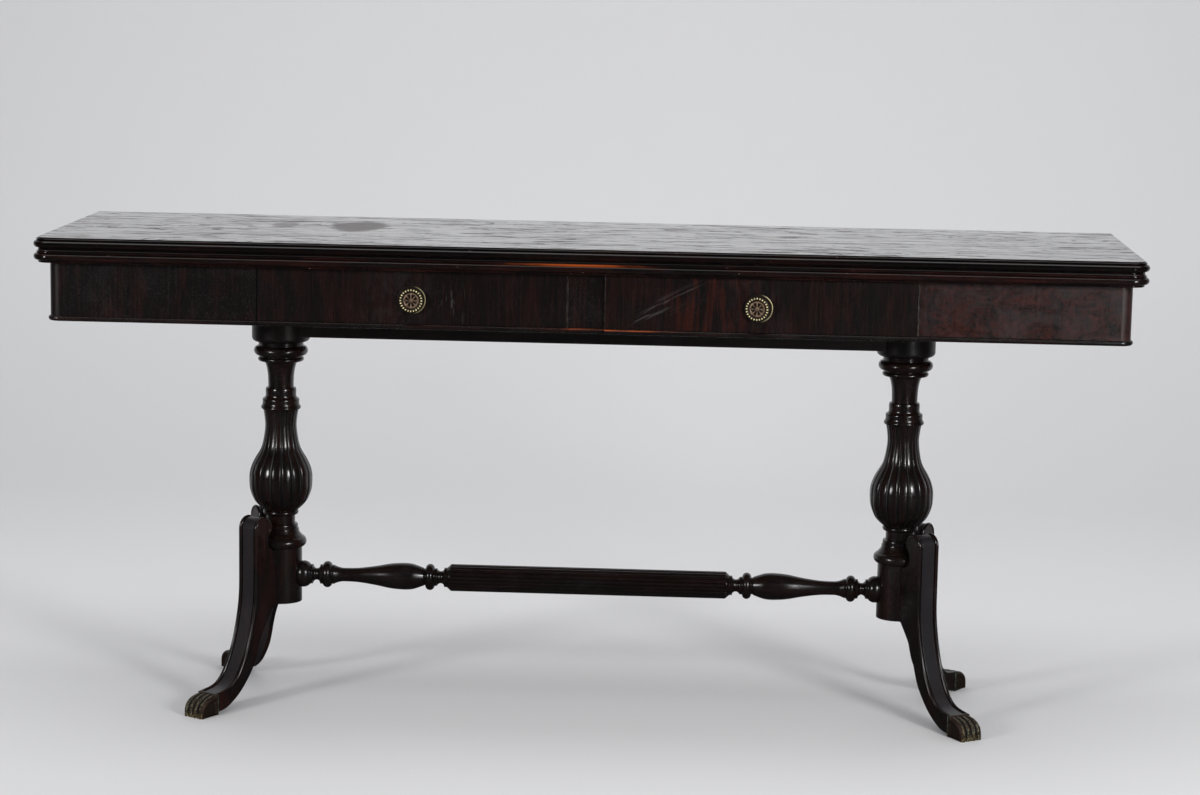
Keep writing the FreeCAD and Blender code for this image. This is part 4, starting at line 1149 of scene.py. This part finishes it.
def leg_outer_edge():
    """The edge of a leg from the hook of its scroll, over the top and down the face to the paw."""
    hook = (scroll_x + scroll_radius * math.cos(scroll_hook),
            scroll_z + scroll_radius * math.sin(scroll_hook))
    edge = [hook] + arc_points(hook, (scroll_x, scroll_z + scroll_radius), (leg_face, scroll_z), 20)
    edge += [(leg_face, scroll_z - 0.03), (leg_face, scroll_z - 0.06)]
    face_end = foot_bottom + 0.010
    down = [(leg_face + out, face_end + up) for out, up in leg_bend_offsets]
    down += [(leg_face + out * (leg_reach - leg_face), face_end + drop * (leg_end_high - face_end))
             for out, drop in leg_outer_shares]
    return edge + [(point.x, point.y) for point in smooth_through(down, 5)]


def leg_inner_edge():
    """The edge of a leg from its end back up to the column."""
    up = [(foot_radius + out * (leg_reach - foot_radius), foot_bottom + drop * (leg_end_low - foot_bottom))
          for out, drop in leg_inner_shares]
    return [(point.x, point.y) for point in reversed(smooth_through(up, 5))]


class TABLE_OT_legs(Operator):
    """Models the four splayed legs with a bead along the edges of their faces"""
    bl_idname = "table.legs"
    bl_label = "Legs"

    def execute(self, context):
        leg = self.model(context.scene.table_pedestals)
        for corner, sign, turn, stands, place in leg_corners():
            red, haze = (0.35, 0.28) if sign > 0 else (0.75, 0.12)
            marks = partial(leg_marks, stands, place)
            finish = mahogany(corner + "_leg_mahogany", "Z", red, haze, 0.20, 7.3 + turn * sign, marks)
            own = placed(copied(leg, corner + "_beaded_leg"), (column_x, 0, 0), (0, 0, turn), sign < 0)
            settled(own, "base", "mahogany", finish, corner + "_leg")
        discard(leg)
        return {"FINISHED"}

    def model(self, sizes):
        """A sawn board with two beads and a raised strip between them on its face."""
        thick, bead = sizes.leg_thickness, sizes.leg_bead
        root = foot_radius - 0.004
        outer = leg_outer_edge()
        notch = arc_points((foot_radius, foot_top), (torus_radius + 0.010, foot_top + 0.013), outer[0], 10)
        rim = [(root, foot_bottom), (root, foot_top), (foot_radius, foot_top)] + notch[:-1]
        rim += self.inset(outer, 0.0026) + leg_inner_edge()
        plank = self.sawn("leg_board", rim, thick, 0.0007)
        sink = 0.7 * bead
        path = self.inset(outer, sink)
        beads = [tube("leg_bead", [(x, side * (thick / 2 - sink), z) for x, z in path], bead)
                 for side in (-1, 1)]
        strip = self.inset(outer, 0.0012) + self.inset(outer, 0.0040)[::-1]
        strip = self.sawn("leg_strip", strip, thick - 2 * (sink + bead + sizes.leg_quirk), 0.0004)
        return joined("leg", [plank, strip] + beads)

    def sawn(self, name, outline, thickness, arris):
        """An outline sawn from a board."""
        piece = slab(name, [(x, -thickness / 2, z) for x, z in outline], (0, thickness, 0))
        return softened(close_piece(piece), arris, 50.0)

    def inset(self, edge, depth):
        """The edge moved into the leg by a depth, and still ending at the paw."""
        points = [Vector(point) for point in edge]
        moved = []
        for number, point in enumerate(points):
            before, after = points[max(number - 1, 0)], points[min(number + 1, len(points) - 1)]
            along = (after - before).normalized()
            moved.append((point.x + along.y * depth, point.y - along.x * depth))
        moved[-1] = (leg_reach, moved[-1][1])
        return moved


# The toes of a paw: how far apart they are, and their run past the seam with the leg
toe_pitch = 0.0098
toe_places = (-1.5, -0.5, 0.5, 1.5)
toe_path = (
    (-0.003, 0.96, 0.0275), (0.010, 0.98, 0.0268), (0.022, 1.0, 0.0238), (0.0305, 1.0, 0.0178),
    (0.0335, 1.0, 0.0105), (0.0342, 1.0, -0.004),
)


class TABLE_OT_paws(Operator):
    """Models the four cast paw feet"""
    bl_idname = "table.paws"
    bl_label = "Paw feet"

    def execute(self, context):
        paw = self.cast(context.scene.table_fittings)
        for corner, sign, turn, stands, place in leg_corners():
            finish = paw_brass(corner + "_paw_brass", stands, place)
            own = placed(copied(paw, corner + "_cast_paw"), (column_x, 0, 0), (0, 0, turn), sign < 0)
            settled(own, "base", "paw_brass", finish, corner + "_paw")
        discard(paw)
        return {"FINISHED"}

    def cast(self, sizes):
        """A collar, a body and four toes, run together as one casting."""
        seam = leg_reach
        back = seam - 0.004
        parts = [board("paw_collar", (back, -0.0198, 0.0), (seam + 0.006, 0.0198, 0.0338), 0.0012),
                 board("paw_body", (back, -0.0185, 0.0), (seam + 0.031, 0.0185, 0.0225), 0.003)]
        for place in toe_places:
            y = place * toe_pitch
            points = smooth_through([(seam + out, y * spread, up) for out, spread, up in toe_path], 4)
            last = len(points) - 1
            swell = [1.0 + 0.12 * math.sin(math.pi * number / last) for number in range(last + 1)]
            size = 1.0 if abs(place) < 1 else 0.95
            parts.append(tube("paw_toe", points, sizes.toe_radius * size, swell))
        paw = joined("paw", parts)
        cast = paw.modifiers.new("Cast", "REMESH")
        cast.mode = "VOXEL"
        cast.voxel_size = sizes.cast_grain
        smooth = paw.modifiers.new("Rubbed", "SMOOTH")
        smooth.factor = 0.5
        smooth.iterations = 3
        for modifier in (cast.name, smooth.name):
            bpy.ops.object.modifier_apply(modifier=modifier)
        bpy.ops.object.mode_set(mode="EDIT")
        for place, normal in (((0, 0, 0), (0, 0, -1)), ((seam + 0.0001, 0, 0), (-1, 0, 0))):
            bpy.ops.mesh.select_all(action="SELECT")
            bpy.ops.mesh.bisect(plane_co=place, plane_no=normal, use_fill=True, clear_outer=True)
        return close_piece(paw, 50.0)


# Outlines of a pull, each point a radius and a distance from the drawer front
plate_outline = (
    (0.0218, 0.0), (0.022, 0.0008), (0.022, 0.0022), (0.0215, 0.0030), (0.0207, 0.0032), (0.0200, 0.0029),
    (0.0196, 0.0021), (0.0188, 0.0018), (0.006, 0.0020),
)
knob_outline = (
    (0.0055, 0.0015), (0.0055, 0.0065), (0.0075, 0.0072), (0.0165, 0.0074), (0.0182, 0.0084),
    (0.0185, 0.0100), (0.0182, 0.0113), (0.0172, 0.0119), (0.0146, 0.0119), (0.0139, 0.0112),
    (0.0125, 0.0109), (0.0121, 0.0118), (0.0115, 0.0127), (0.0106, 0.0129), (0.0098, 0.0124),
    (0.0094, 0.0112), (0.0080, 0.0106), (0.004, 0.0106),
)
boss_outline = (
    (0.0034, 0.0105), (0.0034, 0.0132), (0.0030, 0.0141), (0.0024, 0.0145), (0.0018, 0.0142),
    (0.0014, 0.0136), (0.0008, 0.0139), (0.0, 0.0141),
)
spoke_path = ((0.0022, 0.0124), (0.005, 0.0128), (0.0080, 0.0124), (0.0102, 0.0120))
spoke_swell = (0.9, 0.85, 0.8, 0.8, 0.9, 1.0, 1.15, 1.3, 1.5, 1.6)
spoke_radius = 0.0009
pull_face = 0.012
pull_bead_radius = 0.002
pull_bead_ring = 0.0162
pull_lean = {"left": 0.0, "right": math.radians(12)}


class TABLE_OT_pulls(Operator):
    """Models the beaded rosette pulls and their backplates"""
    bl_idname = "table.pulls"
    bl_label = "Drawer pulls"

    def execute(self, context):
        plate = self.turned("plate", 0.0, plate_outline)
        knob = self.knob(context.scene.table_fittings)
        for side, lean in pull_lean.items():
            low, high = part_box(side + "_drawer_pull_plate")
            middle = ((low.x + high.x) / 2, high.y, (low.z + high.z) / 2)
            finish = pull_brass(side + "_plate_brass", middle, 0.0)
            own = placed(copied(plate, side + "_pull_backplate"), middle, (quarter, 0, 0))
            settled(own, side + "_drawer", "pull_brass", finish, side + "_drawer_pull_plate")
            finish = pull_brass(side + "_pull_brass", middle, lean)
            own = placed(copied(knob, side + "_rosette_knob"), middle, (quarter, 0, -lean))
            settled(own, side + "_drawer", "pull_brass", finish, side + "_drawer_pull_knob")
        discard(plate, knob)
        return {"FINISHED"}

    def turned(self, name, start, outline, steps=96):
        """A small turned piece from its outline."""
        part = Turning(start, 1)
        part.outline(*outline)
        return part.piece(name, steps)

    def knob(self, sizes):
        """The knob: a disc with a ring of beads, a raised ring and a rosette of spokes round a boss."""
        parts = [self.turned("knob_disc", 0.0015, knob_outline)]
        for number in range(sizes.pull_beads):
            turn = math.tau * number / sizes.pull_beads
            drop_selection()
            bpy.ops.mesh.primitive_uv_sphere_add(segments=14, ring_count=8, radius=pull_bead_radius)
            bead = start_piece("knob_bead")
            bpy.ops.transform.resize(value=(0.95, 0.68, 0.95), center_override=(0, 0, 0))
            close_piece(bead, 180.0)
            place = (pull_bead_ring * math.cos(turn), pull_bead_ring * math.sin(turn), pull_face)
            parts.append(placed(bead, place, (0, 0, turn)))
        for number in range(sizes.pull_petals):
            turn = math.tau * number / sizes.pull_petals
            path = [(out * math.cos(turn), out * math.sin(turn), up) for out, up in spoke_path]
            parts.append(tube("knob_spoke", smooth_through(path, 3), spoke_radius, spoke_swell))
        parts.append(self.turned("knob_boss", 0.0105, boss_outline, 32))
        return joined("knob", parts)


class TABLE_OT_hidden_finishes(Operator):
    """Gives the inner timbers, the linings, the hinges and the plain boards their finishes"""
    bl_idname = "table.hidden_finishes"
    bl_label = "Inner timbers and hinges"

    def execute(self, context):
        wood_x = plain_timber("frame_timber_long", "X", 0.4)
        wood_y = plain_timber("frame_timber_deep", "Y", 1.3)
        dark = mahogany("rail_mahogany", "X", 0.3, 0.12, 0.42, 8.8)
        brass = plain_metal("hinge_brass", "hinge_dark", "hinge_light", 300.0, 4.0, (0.35, 0.7), 0.34, 0.1)
        steel = plain_metal("hinge_steel", "steel_light", "steel_dark", 500.0, 3.0, (0.4, 0.7), 0.4)
        by_slot = {"hinge_brass": brass, "steel_screws": steel, "frame_wood": wood_y, "drawer_wood": wood_y}
        by_node = {"under_rail": dark, "back_apron": dark}
        for side in sides:
            by_node[side + "_drawer_back"] = wood_x
        for part in frame["record"]["subparts"]:
            finish = by_node.get(part["node"]) or by_slot.get(part["material_slot"])
            if finish:
                coated(frame["nodes"][part["node"]], finish)
        return {"FINISHED"}


# The lamps: place, aim, width, height, power, and whether they leave a highlight
lamps = {
    "left_softbox": ((-2.95, -3.05, 1.55), (-0.1, 0.0, 0.5), 0.7, 0.8, 58.0, True),
    "right_softbox": ((2.15, -2.75, 1.55), (0.1, 0.0, 0.5), 0.7, 0.8, 58.0, True),
    "overhead": ((0.0, -0.3, 3.3), (0.0, -0.1, 0.0), 5.0, 2.2, 50.0, True),
    "back_fill": ((0.0, 2.6, 2.4), (0.0, 0.0, 0.3), 4.0, 1.5, 16.0, False),
    "low_strip": ((1.80, -3.0, 0.40), (0.83, -0.2, 0.65), 0.25, 0.6, 4.0, True),
    "backdrop_lamp": ((0.0, 1.3, 3.4), (0.0, 3.1, 1.0), 4.0, 0.6, 9.0, True),
}
shaded_lamps = ("left_softbox", "right_softbox")
room_strength = 0.37
camera_place = (0.2323, -4.65, 1.2215)
camera_yaw, camera_pitch, camera_roll = 0.04687, 0.15349, 0.01773


class TABLE_OT_stage(Operator):
    """Sets out the floor, the backdrop, the lamps and the camera"""
    bl_idname = "table.stage"
    bl_label = "Stage"

    def execute(self, context):
        settings = context.scene.table_stage
        self.floor(settings)
        for name, lamp in lamps.items():
            self.lamp(name, *lamp)
        self.shade_top()
        self.world()
        self.camera(settings)
        context.scene.view_settings.view_transform = "Standard"
        return {"FINISHED"}

    def floor(self, settings):
        """A pale floor that sweeps up into the backdrop, and is dark in reflections in front of the table."""
        drop_selection()
        bpy.ops.mesh.primitive_plane_add(size=1)
        floor = start_piece("floor")
        bpy.ops.transform.resize(value=(14, 9, 1))
        bpy.ops.transform.translate(value=(0, -2.7, 0))
        pick(floor, "edges", lambda at: at.y > 1.5)
        turned_corner(16, (0, 1.8, 1.3), (1, 0, 0))
        bpy.ops.mesh.extrude_edges_move(TRANSFORM_OT_translate={"value": (0, 0, 4.0)})
        bpy.ops.mesh.select_all(action="SELECT")
        bpy.ops.mesh.remove_doubles(threshold=merge_distance)
        bpy.ops.mesh.normals_make_consistent(inside=True)
        bpy.ops.object.mode_set(mode="OBJECT")
        bpy.ops.object.shade_smooth()
        paper = Finish("backdrop_paper", (*settings.floor, 1.0))
        glossy = paper.field("ShaderNodeLightPath", out="Is Glossy Ray")
        paper.tint(glossy * (1 - paper.y.between(0.3, 1.3)), "mirrored_floor")
        self.open_behind(paper)
        floor.data.materials.append(paper.finished(Roughness=0.8))

    def open_behind(self, paper):
        """Lets the camera see through the back of the backdrop, and fades the floor out far away."""
        seen = paper.field("ShaderNodeLightPath", out="Is Camera Ray")
        behind = paper.field("ShaderNodeNewGeometry", out="Backfacing")
        far = abs(paper.x).between(2.0, 3.0).or_more((-1 * paper.y).between(1.6, 2.6))
        clear = paper.field("ShaderNodeBsdfTransparent")
        solid = Field(paper, paper.shader.outputs[0])
        either = paper.field("ShaderNodeMixShader", {}, {0: seen * behind.or_more(far), 1: solid, 2: clear})
        paper.feed(paper.tree.nodes["Material Output"].inputs["Surface"], either)

    def lamp(self, name, place, aim, wide, tall, power, mirrored):
        """A rectangular lamp that the camera does not see; one that is not mirrored leaves no highlight."""
        drop_selection()
        bpy.ops.object.light_add(type="AREA", location=place)
        lamp = bpy.context.object
        lamp.name = name
        lamp.rotation_euler = (Vector(aim) - Vector(place)).to_track_quat("-Z", "Y").to_euler()
        lamp.data.shape = "RECTANGLE"
        lamp.data.size = wide
        lamp.data.size_y = tall
        lamp.data.energy = power
        lamp.visible_camera = False
        lamp.visible_glossy = mirrored

    def shade_top(self):
        """Keeps lamps off the polished top, which would mirror them as white patches from behind."""
        shaded = bpy.data.collections.new("shaded_top")
        shaded.objects.link(bpy.data.objects["upper_leaf_moulded"])
        shaded.collection_objects[0].light_linking.link_state = "EXCLUDE"
        for name in shaded_lamps:
            bpy.data.objects[name].light_linking.receiver_collection = shaded

    def world(self):
        """A soft pale room that is dark in reflections, like a studio behind the camera."""
        world = bpy.data.worlds.new("studio")
        bpy.context.scene.world = world
        world.use_nodes = True
        room = Nodes(world.node_tree)
        tint = room.mixed(room.field("ShaderNodeLightPath", out="Is Glossy Ray"), "room", "mirrored_room")
        tint = room.mixed(room.field("ShaderNodeLightPath", out="Is Camera Ray"), tint, "seen_room")
        background = room.tree.nodes["Background"]
        room.feed(background.inputs["Color"], tint)
        room.feed(background.inputs["Strength"], room_strength)

    def camera(self, settings):
        """The camera stands a little right of the middle and looks slightly down."""
        level = math.cos(camera_pitch)
        ahead = Vector((-math.sin(camera_yaw) * level, math.cos(camera_yaw) * level, -math.sin(camera_pitch)))
        right = Vector((math.cos(camera_yaw), math.sin(camera_yaw), 0.0))
        down = ahead.cross(right)
        rolled_right = math.cos(camera_roll) * right - math.sin(camera_roll) * down
        rolled_down = math.sin(camera_roll) * right + math.cos(camera_roll) * down
        turn = Matrix((rolled_right, -rolled_down, -ahead)).transposed().to_4x4()
        drop_selection()
        bpy.ops.object.camera_add()
        camera = bpy.context.object
        camera.matrix_world = Matrix.Translation(camera_place) @ turn
        camera.data.lens = settings.lens
        camera.data.sensor_width = 36.0
        bpy.context.scene.camera = camera


operators = (
    TABLE_OT_leaves, TABLE_OT_boards, TABLE_OT_beads, TABLE_OT_columns, TABLE_OT_stretcher, TABLE_OT_legs,
    TABLE_OT_paws, TABLE_OT_pulls, TABLE_OT_hidden_finishes, TABLE_OT_stage,
)


class TABLE_PT_panel(Panel):
    """Lists the operators that dress the table"""
    bl_idname = "TABLE_PT_panel"
    bl_label = "Pier table"
    bl_space_type = "VIEW_3D"
    bl_region_type = "UI"
    bl_category = "Pier table"

    def draw(self, context):
        for operator in operators:
            self.layout.operator(operator.bl_idname)


settings_groups = {
    "table_top": TopSizes,
    "table_frame": FrameSizes,
    "table_pedestals": PedestalSizes,
    "table_fittings": FittingSizes,
    "table_colours": FinishColours,
    "table_stage": StageSettings,
}


def register():
    for name, group in settings_groups.items():
        bpy.utils.register_class(group)
        setattr(bpy.types.Scene, name, PointerProperty(type=group))
    for operator in operators:
        bpy.utils.register_class(operator)
    bpy.utils.register_class(TABLE_PT_panel)


def unregister():
    bpy.utils.unregister_class(TABLE_PT_panel)
    for operator in reversed(operators):
        bpy.utils.unregister_class(operator)
    for name, group in reversed(settings_groups.items()):
        delattr(bpy.types.Scene, name)
        bpy.utils.unregister_class(group)


def main():
    register()
    bpy.ops.table.leaves()
    bpy.ops.table.boards()
    bpy.ops.table.beads()
    bpy.ops.table.columns()
    bpy.ops.table.stretcher()
    bpy.ops.table.legs()
    bpy.ops.table.paws()
    bpy.ops.table.pulls()
    bpy.ops.table.hidden_finishes()
    bpy.ops.table.stage()


if __name__ == "__main__":
    main()
